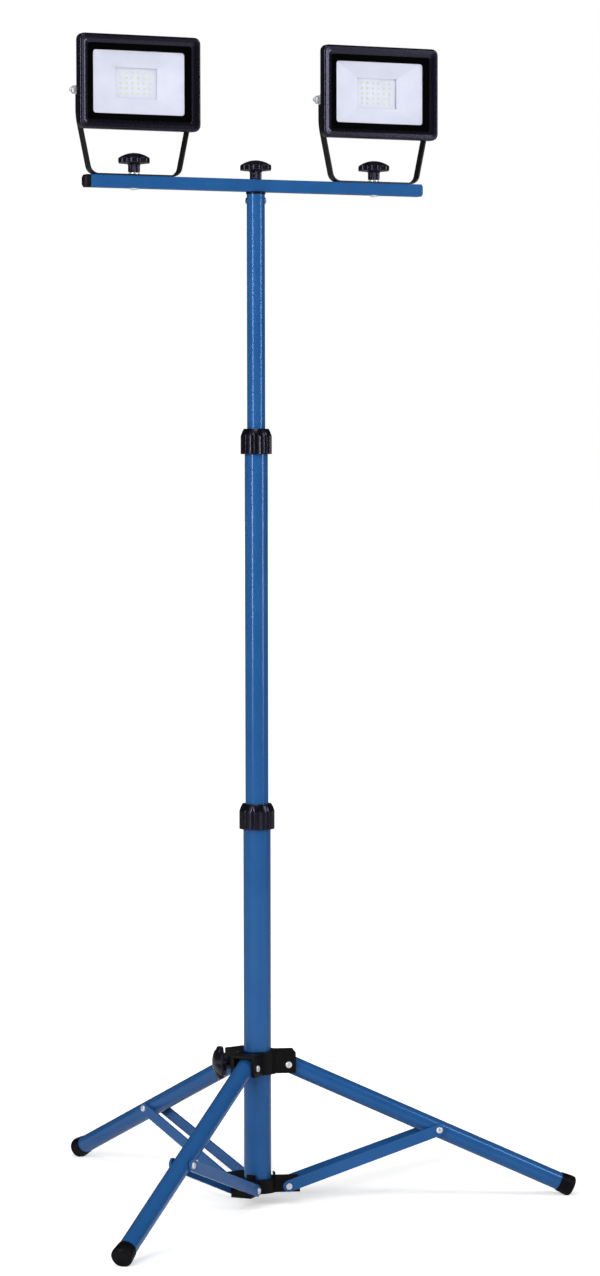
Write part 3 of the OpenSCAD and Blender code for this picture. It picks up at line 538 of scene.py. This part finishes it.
knob_points = 96
knob_r = 22.75 * mm
knob_lobes = 6
lobe_power = 2.4
lobe_depth = 5 * mm
neck_r = 8.5 * mm
neck_h = 11 * mm
neck_ribs = 10
rib_depth = 1.1 * mm
rim_low = 12.4 * mm
rim_high = 18.3 * mm
knob_h = 26 * mm
dome_drop = 7.2 * mm
dome_r = knob_r - 1.4 * mm
dome_steps = 7
socket_r = 4.1 * mm
socket_h = 12 * mm


def grooved_ring(count, grooves, power, radius, depth, z, middle=Vector()):
    """A round outline of count points with even grooves, which get narrower with the power."""
    def outline(i):
        angle = tau * i / count
        reach = radius - depth * ((1 - cos(grooves * angle)) / 2) ** power
        return (middle.x + reach * cos(angle), middle.y + reach * sin(angle), z)
    return outline


def star_knob(at, up, lobe):
    """A knob with its neck on a point and a lobe to one side, with a blind socket for its stud."""
    neck = [
        (hair, 0, socket_h), (socket_r, 0, socket_h),
        (socket_r, 0, 0.4 * mm), (socket_r + 0.4 * mm, 0, 0),
        (neck_r - 0.8 * mm, 0, 0), (neck_r, rib_depth, 0.8 * mm),
        (neck_r, rib_depth, neck_h - 1.6 * mm), (neck_r + 0.7 * mm, 0.2 * mm, neck_h - 0.4 * mm),
    ]
    head = [
        (neck_r + 2.2 * mm, 0, neck_h + 0.1 * mm),
        (knob_r - 1.8 * mm, 0.9 * lobe_depth, rim_low - 0.2 * mm),
        (knob_r - 0.5 * mm, lobe_depth, rim_low),
        (knob_r, lobe_depth, rim_low + 1 * mm),
        (knob_r, lobe_depth, rim_high),
        (knob_r - 0.4 * mm, lobe_depth, rim_high + 0.7 * mm),
    ]
    for step in range(dome_steps):
        left = 1 - step / dome_steps
        r = dome_r * left
        head.append((r, lobe_depth * left ** 2.5, knob_h - dome_drop * (r / knob_r) ** 2))
    head.append((hair, 0, knob_h))
    rings = [grooved_ring(knob_points, neck_ribs, 1, *ring) for ring in neck]
    rings += [grooved_ring(knob_points, knob_lobes, lobe_power, *ring) for ring in head]
    bm = shell(rings, knob_points, closed=False)
    move(bm, seat(at, up, lobe))
    return bm


lobe_to = (-0.4, -0.9, 0)
bm = star_knob((0, 0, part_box("top_knob")[0].z), (0, 0, 1), lobe_to)
finish_piece("crossbar_star_knob", bm, "top_knob", "black_plastic", "top_knob", knob_plastic)

# Leg collar: a black moulding that slides on the base tube, with two ears and a roof for each leg.
# A boss on one side takes the clamp screw, and pan-head pins through the ears carry the legs.

bm = copy_of("leg_collar")
soften(bm, 0.6 * mm)
finish_piece("moulded_leg_collar", bm, "leg_collar", "black_plastic", "leg_collar", filled_nylon)

leg_pin_half = 18 * mm
bm = bmesh.new()
for name in leg_names:
    pivot = joints[name + "_leg_fold"]
    cross_pin(bm, pivot["pos_m"], pivot["axis"], leg_pin_half)
finish_piece("leg_pivot_pins", bm, "leg_collar", "zinc_steel", "leg_pivot_screws", zinc)

clamp = Vector(joints["clamp_knob_turn"]["pos_m"])
clamp_out = Vector((clamp.x, clamp.y, 0)).normalized()
clamp_axis = Vector((0, 0, clamp.z))
clamp_seat = 38.2 * mm
clamp_play = 0.3 * mm
bm = threaded_rod(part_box("base_tube")[1].y + clamp_play, clamp_seat + socket_h - clamp_play, stud_r)
move(bm, seat(clamp_axis, clamp_out))
finish_piece("clamp_screw_rod", bm, "clamp_knob", "zinc_steel", "clamp_screw", zinc)
bm = star_knob(clamp_out * clamp_seat + clamp_axis, clamp_out, (0, 0, 1))
finish_piece("clamp_star_knob", bm, "clamp_knob", "black_plastic", "clamp_knob", knob_plastic)

# Legs: 25 mm coated steel tubes, hinged in the leg collar, each with a slip-on foot on its lower
# end. The foot is a cap of the same soft vinyl as the bar's, which flares to a rounded nose with a
# groove and is worn flat where it stands.

leg_drop = radians(24.6)
leg_r = 12.5 * mm
leg_len = 423 * mm
leg_end = 5 * mm
foot_rim_r = 13.45 * mm
foot_r = 14.65 * mm
foot_len = 21.5 * mm
foot_round = 4.5 * mm
foot_floor = 6 * mm
foot_fit = 0.05 * mm
nose_steps = 8


def leg_line(name):
    """A leg's hinge, the way it heads over the floor, and its direction down to the foot."""
    hinge = Vector(joints[name + "_leg_fold"]["pos_m"])
    heading = Vector((hinge.x, hinge.y, 0)).normalized()
    return hinge, heading, heading * cos(leg_drop) - Vector((0, 0, sin(leg_drop)))


for name in leg_names:
    hinge, heading, down = leg_line(name)
    along = seat(hinge, down)
    inner = leg_r - tube_wall
    tube_end = leg_len + foot_len - foot_floor
    bm = lathe([(inner, -leg_end), (leg_r, -leg_end), (leg_r, tube_end), (inner, tube_end)], steps=72)
    soften(bm, 0.4 * mm)
    move(bm, along)
    finish_piece(name + "_coated_leg", bm, name + "_leg", "blue_paint", name + "_leg", blue_coat)

    nose = foot_len - foot_round
    bore, groove_r = leg_r + foot_fit, foot_r - 0.5 * mm
    inside = foot_len - foot_floor
    profile = [
        (0, inside), (bore, inside), (bore, 0.4 * mm), (leg_r + 0.5 * mm, 0),
        (foot_rim_r - 0.3 * mm, 0), (foot_rim_r, 0.4 * mm), (foot_r - 0.1 * mm, nose - 4 * mm),
        (groove_r, nose - 3.4 * mm), (groove_r, nose - 2.8 * mm), (foot_r, nose - 2.2 * mm),
    ]
    for step in range(nose_steps + 1):
        a = pi / 2 * step / nose_steps
        profile.append((foot_r - foot_round * (1 - cos(a)), nose + foot_round * sin(a)))
    profile.append((0, foot_len))
    bm = lathe(profile, steps=72, closed=False)
    move(bm, Matrix.Translation(down * leg_len) @ along)
    bmesh.ops.bisect_plane(bm, geom=bm.verts[:] + bm.edges[:] + bm.faces[:],
                           plane_co=(0, 0, 0), plane_no=(0, 0, -1), clear_outer=True)
    bmesh.ops.holes_fill(bm, edges=bm.edges)
    bmesh.ops.recalc_face_normals(bm, faces=bm.faces)
    finish_piece(name + "_vinyl_foot", bm, name + "_leg", "foot_rubber", name + "_foot", black_vinyl)

# Stays: a pair of flat coated strips for each leg, with round ends and deburred edges.
# They turn on the hub's pins and are riveted through the leg's tube with pan heads outside.

for name in leg_names:
    bm = copy_of(name + "_stays")
    soften(bm, 0.5 * mm)
    finish_piece(name + "_flat_stays", bm, name + "_stays", "blue_paint", name + "_stays", blue_coat)

stay_at = 233 * mm
strip_t = 3 * mm
strip_gap = 13 * mm
strip_spread = 2.65 * mm
strip_run = 224.044 * mm
stay_toe = asin(strip_spread / strip_run)
for name in leg_names:
    hinge, heading, down = leg_line(name)
    foot = Vector(joints[name + "_stay_fold"]["pos_m"])
    across = Vector((0, 0, 1)).cross(heading)
    joint = hinge + down * stay_at
    run = (joint - foot).normalized()
    bm = bmesh.new()
    for side, turn in ((-1, 0.2), (1, 0.65)):
        out = across * side * cos(stay_toe) + run * sin(stay_toe)
        at = joint + across * side * strip_gap
        add_part(bm, plain_pin(0, strip_t), seat(at, out))
        add_part(bm, pan_head(), seat(at + out * strip_t, out) @ Matrix.Rotation(turn, 4, "Z"))
    finish_piece(name + "_stay_rivets", bm, name + "_stays", "zinc_steel", name + "_stay_screws", zinc)

# Brackets: U-shaped straps of 2 mm steel, bent round the lamps and painted black.
# Each stands on the bar under its star knob and holds its lamp by a bolt through each arm.

# Black paint on steel strip: a thin satin coat that goes a little grey in patches.
black_strap, tree, shader, place = start_material("black_painted_steel")
coat = mottle(tree, shader, place, 20 * mm, 4, ("#060508", "#0D0B11"), stops=(0.35, 0.75))
gloss = add_node(tree, "ShaderNodeMapRange", {"Value": coat, "To Min": 0.3, "To Max": 0.42})
shader.inputs["Specular IOR Level"].default_value = 0.35
tree.links.new(gloss.outputs["Result"], shader.inputs["Roughness"])

lamp_sides = ("left", "right")
for side in lamp_sides:
    bracket, knob = side + "_bracket", side + "_lamp_knob"
    bm = copy_of(bracket)
    soften(bm, 0.5 * mm)
    finish_piece(side + "_lamp_strap", bm, bracket, "black_steel", bracket, black_strap)
    low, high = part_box(knob)
    bm = star_knob(((low.x + high.x) / 2, 0, low.z), (0, 0, 1), lobe_to)
    finish_piece(side + "_bracket_star_knob", bm, knob, "black_plastic", knob, knob_plastic)

# Housings: die-cast aluminium trays with a row of cooling fins on the back, coated black.
# A stud on each side, with a washer and a hexagon nut, holds a housing between its bracket's arms.

# Black coat on a casting: fine-textured powder, dull, with the pebble drawn at 1.5 mm to show.
black_cast, tree, shader, place = start_material("black_coated_casting")
mottle(tree, shader, place, 50 * mm, 2, ("#050409", "#08070D"), stops=(0.3, 0.7))
grain_skin(tree, shader, place, 1.5 * mm, 3, gloss=(0.22, 0.32), relief=(0.06, 0.2 * mm))
shader.inputs["Specular Tint"].default_value = linear("#D4D2FF")

corner_points = 9


def lamp_piece(side, name, bm, slot, node, *materials):
    """Makes the mesh a piece of one lamp, which tilts with it."""
    finish_piece(side + name, bm, side + "_lamp", slot, side + node, *materials)


def window_ring(middle, width, height, radius, y):
    """An upright rectangular outline with round corners, at a depth of the lamp."""
    def outline(i):
        corner, step = divmod(i, corner_points)
        angle = pi / 2 * (corner + step / (corner_points - 1))
        right = 1 if corner in (0, 3) else -1
        top = 1 if corner in (0, 1) else -1
        return (middle.x + right * (width / 2 - radius) + radius * cos(angle), y,
                middle.z + top * (height / 2 - radius) + radius * sin(angle))
    return outline


def window_shell(middle, loops, closed):
    """A skin through upright rectangles, each given as width, height, corner radius and depth."""
    return shell([window_ring(middle, *loop) for loop in loops], 4 * corner_points, closed)


def face_size(node):
    """The width and height of a CAD node, seen from the front of the lamp."""
    low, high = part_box(node)
    return high.x - low.x, high.z - low.z


fins = 15
fin_t = 2.4 * mm
fin_h = 8 * mm
fin_root = 1 * mm
fin_margin = 8 * mm
cavity_play = 2 * mm
wall_t = 4 * mm
for side in lamp_sides:
    low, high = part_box(side + "_housing")
    middle = (low + high) / 2
    width, height = face_size(side + "_housing")
    rear = high.y - fin_h
    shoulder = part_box(side + "_front_frame")[1].y
    spigot = face_size(side + "_glass")
    cavity = [size + cavity_play for size in face_size(side + "_reflector")]
    board_seat = face_size(side + "_led_board")
    bm = window_shell(middle, [
        (width - 3 * mm, height - 3 * mm, 6.5 * mm, rear),
        (width - 0.9 * mm, height - 0.9 * mm, 7.5 * mm, rear - 0.45 * mm),
        (width, height, 8 * mm, rear - 1.5 * mm),
        (width, height, 8 * mm, shoulder),
        (*spigot, 5 * mm, shoulder),
        (*spigot, 5 * mm, low.y),
        (*cavity, 4 * mm, low.y),
        (*cavity, 4 * mm, rear - wall_t),
        (*board_seat, 4 * mm, rear - wall_t),
        (*board_seat, 4 * mm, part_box(side + "_led_board")[1].y),
    ], closed=False)
    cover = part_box(side + "_driver_box")
    fin_top = height / 2 - fin_margin
    for fin in range(fins):
        x = middle.x + (fin / (fins - 1) - 0.5) * (width - 2 * fin_margin - fin_t)
        foot = cover[1].z - middle.z + 0.5 * mm if cover[0].x < x < cover[1].x else -fin_top
        rib = bmesh.new()
        bmesh.ops.create_cube(rib, size=1)
        bmesh.ops.scale(rib, vec=(fin_t, fin_h + fin_root, fin_top - foot), verts=rib.verts)
        soften(rib, 0.7 * mm)
        at = (x, rear + (fin_h - fin_root) / 2, middle.z + (fin_top + foot) / 2)
        add_part(bm, rib, Matrix.Translation(at))
    lamp_piece(side, "_finned_housing", bm, "black_cast", "_housing", black_cast)

washer_r = 6.5 * mm
washer_h = 2.2 * mm
hex_r = 5 * mm / cos(pi / 6)
hex_h = 5 * mm
hex_turn = Matrix.Rotation(0.3, 4, "Z")
stud_end = 3.5 * mm
bolt_in = 8 * mm
for side in lamp_sides:
    low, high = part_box(side + "_tilt_bolts")
    shank_r = screw_d / 2
    tip = (high.x - low.x) / 2
    start = face_size(side + "_housing")[0] / 2 - bolt_in
    face = tip - stud_end - hex_h - washer_h
    bm = bmesh.new()
    for arm in (-1, 1):
        stand = seat((low + high) / 2, (arm, 0, 0))
        shank = lathe([(0, start), (shank_r, start), (shank_r, tip - 1 * mm), (shank_r - 0.8 * mm, tip),
                       (0, tip)], steps=24, closed=False)
        add_part(bm, shank, stand)
        add_part(bm, flat_washer(shank_r, washer_r, face, washer_h, 0.4 * mm), stand)
        nut = bmesh.new()
        bmesh.ops.create_cone(nut, cap_ends=True, segments=6, radius1=hex_r, radius2=hex_r, depth=hex_h)
        soften(nut, 0.5 * mm)
        add_part(bm, nut, stand @ Matrix.Translation((0, 0, tip - stud_end - hex_h / 2)) @ hex_turn)
    lamp_piece(side, "_tilt_studs", bm, "zinc_steel", "_tilt_bolts", zinc)

# Light source: a white circuit board with thirty small LED packages on the floor of the housing.
# A flared white tray reflects their light out through the window.

# Solder mask: a white lacquer on the board, faintly mottled over the copper under it.
board_lacquer, tree, shader, place = start_material("white_board_lacquer")
mottle(tree, shader, place, 6 * mm, 1, ("#E2E0F2", "#E6E4F4"), stops=(0.4, 0.6))
shader.inputs["Roughness"].default_value = 0.35

# Reflector sheet: pressed aluminium with a white baked enamel, smooth and slightly uneven.
reflector_enamel, tree, shader, place = start_material("white_reflector_enamel")
mottle(tree, shader, place, 25 * mm, 2, ("#DFDCEE", "#E5E2F2"), stops=(0.35, 0.65))
shader.inputs["Roughness"].default_value = 0.3

# LED packages: a white ceramic rim round a bed of yellow phosphor in clear silicone.
chip_rim, tree, shader, place = start_material("white_chip_ceramic")
mottle(tree, shader, place, 1 * mm, 1, ("#E2E0D6", "#F0EFE8"))
shader.inputs["Roughness"].default_value = 0.4

phosphor, tree, shader, place = start_material("yellow_phosphor")
mottle(tree, shader, place, 0.8 * mm, 1, ("#E6E0B8", "#EFEBD0"))
shader.inputs["Roughness"].default_value = 0.25

chip = 3.6 * mm
chip_columns = 6
chip_rows = 5
chip_wall = 0.5 * mm
sheet = 1 * mm
floor_w, floor_h = 61 * mm, 41 * mm
for side in lamp_sides:
    low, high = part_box(side + "_led_board")
    middle = (low + high) / 2
    board = face_size(side + "_led_board")
    bm = window_shell(middle, [(*board, 4 * mm, high.y), (*board, 4 * mm, low.y)], closed=False)
    lamp_piece(side, "_circuit_board", bm, "board_white", "_led_board", board_lacquer)

    low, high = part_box(side + "_led_chips")
    bm = bmesh.new()
    for column in range(chip_columns):
        for row in range(chip_rows):
            x = low.x + chip / 2 + (high.x - low.x - chip) * column / (chip_columns - 1)
            z = low.z + chip / 2 + (high.z - low.z - chip) * row / (chip_rows - 1)
            package = bmesh.new()
            bmesh.ops.create_cube(package, size=1)
            bmesh.ops.scale(package, vec=(chip, chip, high.y - low.y), verts=package.verts)
            top = [f for f in package.faces if f.normal.z > 0.9]
            bmesh.ops.inset_region(package, faces=top, thickness=chip_wall, depth=0)
            bmesh.ops.inset_region(package, faces=top, thickness=0.25 * mm, depth=-0.12 * mm)
            for face in top:
                face.material_index = 1
            add_part(bm, package, seat((x, (low.y + high.y) / 2, z), (0, -1, 0)))
    lamp_piece(side, "_led_packages", bm, "chip_yellow", "_led_chips", chip_rim, phosphor)

    low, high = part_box(side + "_reflector")
    rim_w, rim_h = face_size(side + "_reflector")
    mouth_w, mouth_h = rim_w - 2 * sheet, rim_h - 2 * sheet
    bm = window_shell(middle, [
        (rim_w, rim_h, 4 * mm, low.y + sheet),
        (rim_w, rim_h, 4 * mm, low.y),
        (mouth_w, mouth_h, 4 * mm, low.y),
        (mouth_w - 1 * mm, mouth_h - 1 * mm, 4 * mm, low.y + 0.3 * mm),
        (floor_w + 2 * mm, floor_h + 2 * mm, 2 * mm, high.y - 0.4 * mm),
        (floor_w, floor_h, 1 * mm, high.y),
        (floor_w + 2 * sheet, floor_h + 2 * sheet, 2 * mm, high.y),
    ], closed=True)
    lamp_piece(side, "_reflector_tray", bm, "white_reflector", "_reflector", reflector_enamel)

# Window: 4 mm toughened glass on a flat black rubber seal that shows round the window as a border.
# A cast frame with a rounded rim and a sloped inner face holds both on the housing.

# Seal rubber: dense black foam, matt, with fine open cells.
seal_rubber, tree, shader, place = start_material("black_seal_rubber")
cells = add_node(tree, "ShaderNodeTexVoronoi", {"Vector": place, "Scale": 1 / (0.8 * mm)})
tint = add_node(tree, "ShaderNodeValToRGB", {"Fac": cells.outputs["Distance"]})
tint.color_ramp.elements[0].color = linear("#050407")
tint.color_ramp.elements[1].color = linear("#0A090D")
shader.inputs["Roughness"].default_value = 0.8
shader.inputs["Specular IOR Level"].default_value = 0.2
tree.links.new(tint.outputs["Color"], shader.inputs["Base Color"])

# Toughened glass: clear, polished on both faces, with a trace of handling that blurs its gloss.
window_glass, tree, shader, place = start_material("toughened_glass")
smear = add_node(tree, "ShaderNodeTexNoise", {"Vector": place, "Scale": 1 / (30 * mm), "Detail": 4})
gloss = add_node(tree, "ShaderNodeMapRange",
                 {"Value": smear.outputs["Fac"], "To Min": 0.0, "To Max": 0.04})
shader.inputs["Base Color"].default_value = linear("#F7FAFA")
shader.inputs["Transmission Weight"].default_value = 1
shader.inputs["IOR"].default_value = 1.46
shader.inputs["Specular IOR Level"].default_value = 0.2
tree.links.new(gloss.outputs["Result"], shader.inputs["Roughness"])

window_w, window_h = 134 * mm, 84.5 * mm
open_w, open_h = 152 * mm, 102.5 * mm
lip_w, lip_h = open_w + 1.2 * mm, open_h + 1.2 * mm
ground = 0.5 * mm
glass_fit = 0.1 * mm
crest_inset = 8.2 * mm
crest_corner = 5.8 * mm
for side in lamp_sides:
    low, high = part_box(side + "_gasket")
    middle = (low + high) / 2
    seal = face_size(side + "_gasket")
    bm = window_shell(middle, [
        (*seal, 5 * mm, high.y), (*seal, 5 * mm, low.y),
        (window_w, window_h, 4 * mm, low.y), (window_w, window_h, 4 * mm, high.y),
    ], closed=True)
    lamp_piece(side, "_window_seal", bm, "seal_rubber", "_gasket", seal_rubber)

    low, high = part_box(side + "_glass")
    pane = face_size(side + "_glass")
    polished = [size - 2 * ground for size in pane]
    bm = window_shell(middle, [
        (*polished, 5 * mm, high.y), (*pane, 5 * mm, high.y - ground),
        (*pane, 5 * mm, low.y + ground), (*polished, 5 * mm, low.y),
    ], closed=False)
    lamp_piece(side, "_glass_pane", bm, "clear_glass", "_glass", window_glass)

    glass_y = low.y
    pocket = [size + glass_fit for size in pane]
    low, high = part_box(side + "_front_frame")
    width, height = face_size(side + "_front_frame")
    front, back = low.y, high.y
    crest = front + 0.3 * mm
    crest_w, crest_h = width - crest_inset, height - crest_inset
    rows = [
        (1 * mm, 8.5 * mm, back), (0, 9 * mm, back - 0.5 * mm), (0, 9 * mm, front + 4.4 * mm),
        (0.7 * mm, 8.8 * mm, front + 2.4 * mm), (2.4 * mm, 8.4 * mm, front + 0.9 * mm),
        (4.6 * mm, 7.6 * mm, front + 0.15 * mm), (6.6 * mm, 6.6 * mm, front),
        (crest_inset, crest_corner, crest),
    ]
    loops = [(width - inset, height - inset, corner, y) for inset, corner, y in rows]
    for step in (0.2, 0.4, 0.6, 0.8, 1):
        loops.append((crest_w - (crest_w - lip_w) * step, crest_h - (crest_h - lip_h) * step,
                      crest_corner - 2.6 * mm * step,
                      crest + (glass_y - 0.5 * mm - crest) * step ** 2.5))
    loops += [(open_w, open_h, 3 * mm, glass_y - 0.1 * mm), (open_w, open_h, 3 * mm, glass_y)]
    loops += [(*pocket, 5 * mm, glass_y), (*pocket, 5 * mm, back)]
    bm = window_shell(middle, loops, closed=True)
    lamp_piece(side, "_cast_front_frame", bm, "black_cast", "_front_frame", black_cast)

# Driver box: a moulded cover on the back of the housing, over the driver.
# The supply lead would come in through the ribbed cable gland under it.

gland_ribs = 12
gland_points = 72
gland_rib = 0.6 * mm
gland_nut = 14 * mm
bore_r = 3.5 * mm
stem_r = 5.7 * mm
for side in lamp_sides:
    bm = copy_of(side + "_driver_box")
    soften(bm, 0.8 * mm)
    lamp_piece(side, "_driver_cover", bm, "black_plastic", "_driver_box", black_nylon)

    low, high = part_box(side + "_cable_gland")
    middle = (low + high) / 2
    r = (high.x - low.x) / 2
    under = low.z + gland_nut
    rings = [
        (bore_r + 0.6 * mm, 0, low.z), (r - 2.4 * mm, 0, low.z),
        (r - 1.2 * mm, 0, low.z + 0.8 * mm), (r - 0.5 * mm, 0, low.z + 2.4 * mm),
        (r, gland_rib, low.z + 3.4 * mm), (r, gland_rib, low.z + 10 * mm),
        (r - 0.6 * mm, 0, low.z + 10.6 * mm), (r - 0.6 * mm, 0, low.z + 11.2 * mm),
        (r, 0, low.z + 11.4 * mm), (r, 0, under), (stem_r, 0, under), (stem_r, 0, high.z),
        (bore_r, 0, high.z), (bore_r, 0, low.z + 0.6 * mm),
    ]
    bm = shell([grooved_ring(gland_points, gland_ribs, 1, *ring, middle) for ring in rings],
               gland_points, closed=True)
    lamp_piece(side, "_ribbed_gland", bm, "black_plastic", "_cable_gland", black_nylon)

# Studio: a pale floor that runs out of sight, and soft light from large panels.
# Two tall panels at the sides draw the two streaks on the tubes.

# Floor: matt white paper. It glows white to the camera away from the object, and to a ray that
# went through the glass, and keeps the object's shadow.
floor_paper, tree, shader, place = start_material("white_studio_floor")
mottle(tree, shader, place, 40 * mm, 2, ("#F2F2F2", "#F6F6F6"))
shader.inputs["Roughness"].default_value = 0.9
shader.inputs["Specular IOR Level"].default_value = 0
shader.inputs["Emission Color"].default_value = linear("#FFFFFF")
sight = add_node(tree, "ShaderNodeLightPath", {}).outputs
away = add_node(tree, "ShaderNodeVectorMath", {0: place}, operation="LENGTH")
fade = add_node(tree, "ShaderNodeMapRange", {
    "Value": away.outputs["Value"], "From Min": 0.4, "From Max": 1.6, "To Min": 0.45, "To Max": 1.0})
seen = add_node(tree, "ShaderNodeMath", {0: sight["Is Camera Ray"], 1: fade.outputs["Result"]},
                operation="MULTIPLY")
glow = add_node(tree, "ShaderNodeMath", {
    0: sight["Is Transmission Ray"], 1: 0.8, 2: seen.outputs["Value"]}, operation="MULTIPLY_ADD")
tree.links.new(glow.outputs["Value"], shader.inputs["Emission Strength"])

bm = bmesh.new()
bmesh.ops.create_grid(bm, x_segments=4, y_segments=4, size=40)
mesh = bpy.data.meshes.new("studio_floor")
bm.to_mesh(mesh)
bm.free()
mesh.materials.append(floor_paper)
floor = bpy.data.objects.new("studio_floor", mesh)
bpy.context.scene.collection.objects.link(floor)

# Surroundings: white to the camera, dim to the object, and brighter from the left than from the
# right to a ray that went through the glass.
world = bpy.data.worlds.new("studio")
bpy.context.scene.world = world
world.use_nodes = True
tree = world.node_tree
tree.nodes.clear()
sight = add_node(tree, "ShaderNodeLightPath", {}).outputs
level = add_node(tree, "ShaderNodeMath", {0: sight["Is Glossy Ray"], 1: -0.13, 2: 0.18},
                 operation="MULTIPLY_ADD")
sky = add_node(tree, "ShaderNodeTexCoord", {})
heading = add_node(tree, "ShaderNodeSeparateXYZ", {"Vector": sky.outputs["Generated"]})
sides = add_node(tree, "ShaderNodeMapRange", {
    "Value": heading.outputs["X"], "From Min": -1, "From Max": 1, "To Min": 2.1, "To Max": 0.15})
inside = add_node(tree, "ShaderNodeMath", {
    0: sight["Is Transmission Ray"], 1: sides.outputs["Result"], 2: level.outputs["Value"],
}, operation="MULTIPLY_ADD")
white = linear("#FFFFFF")
ambient = add_node(tree, "ShaderNodeBackground", {"Color": white, "Strength": inside.outputs["Value"]})
backdrop = add_node(tree, "ShaderNodeBackground", {"Color": white, "Strength": 1.0})
mix = add_node(tree, "ShaderNodeMixShader", {
    0: sight["Is Camera Ray"], 1: ambient.outputs["Background"], 2: backdrop.outputs["Background"]})
add_node(tree, "ShaderNodeOutputWorld", {"Surface": mix.outputs["Shader"]})

view_azimuth = radians(-25)
lit_height = 0.9


def light_panel(name, bearing, distance, height, width, tall, power):
    """A soft panel at a bearing from the camera's side, aimed at the middle of the object."""
    data = bpy.data.lights.new(name, "AREA")
    data.shape = "RECTANGLE"
    data.size = width
    data.size_y = tall
    data.energy = power
    panel = bpy.data.objects.new(name, data)
    angle = view_azimuth + radians(bearing)
    at = Vector((sin(angle) * distance, -cos(angle) * distance, height))
    panel.matrix_world = seat(at, at - Vector((0, 0, lit_height))) @ Matrix.Rotation(-pi / 2, 4, "Z")
    bpy.context.scene.collection.objects.link(panel)
    return panel


light_panel("left_panel", -40, 3.2, 1.75, 0.3, 2.6, 70)
light_panel("right_panel", 68, 3.2, 1.75, 0.3, 2.6, 56)
fill = light_panel("camera_side_panel", -14, 4.6, 2.4, 2.5, 3.0, 68)
fill.visible_glossy = False
light_panel("top_panel", -10, 1.4, 4.0, 1.4, 1.4, 30)

# Camera: at the photograph's place, slightly above the middle of the mast, with a long lens.
# Its turn and its lens put the bar, the lamps and the feet where the photograph shows them.

camera_distance = 5.2443
camera_height = 1.0617
focal_px = 3800.9
frame_px = 1276
pitch = radians(-2.991)
yaw = radians(0.655)
roll = radians(-0.078)

back = Vector((sin(view_azimuth), -cos(view_azimuth), 0))
right = Vector((cos(view_azimuth), sin(view_azimuth), 0))
up = Vector((0, 0, 1))
ahead = -back * cos(yaw) + right * sin(yaw)
right = right * cos(yaw) + back * sin(yaw)
aim = ahead * cos(pitch) + up * sin(pitch)
up = up * cos(pitch) - ahead * sin(pitch)
right, up = right * cos(roll) + up * sin(roll), up * cos(roll) - right * sin(roll)
lens = bpy.data.cameras.new("photo_camera")
lens.sensor_fit = "VERTICAL"
lens.sensor_height = 36
lens.lens = focal_px / frame_px * lens.sensor_height
lens.clip_end = 200
camera = bpy.data.objects.new("photo_camera", lens)
turn = Matrix((right, up, -aim)).transposed().to_4x4()
camera.matrix_world = Matrix.Translation(back * camera_distance + Vector((0, 0, camera_height))) @ turn
bpy.context.scene.collection.objects.link(camera)
bpy.context.scene.camera = camera
bpy.context.scene.view_settings.view_transform = "Standard"
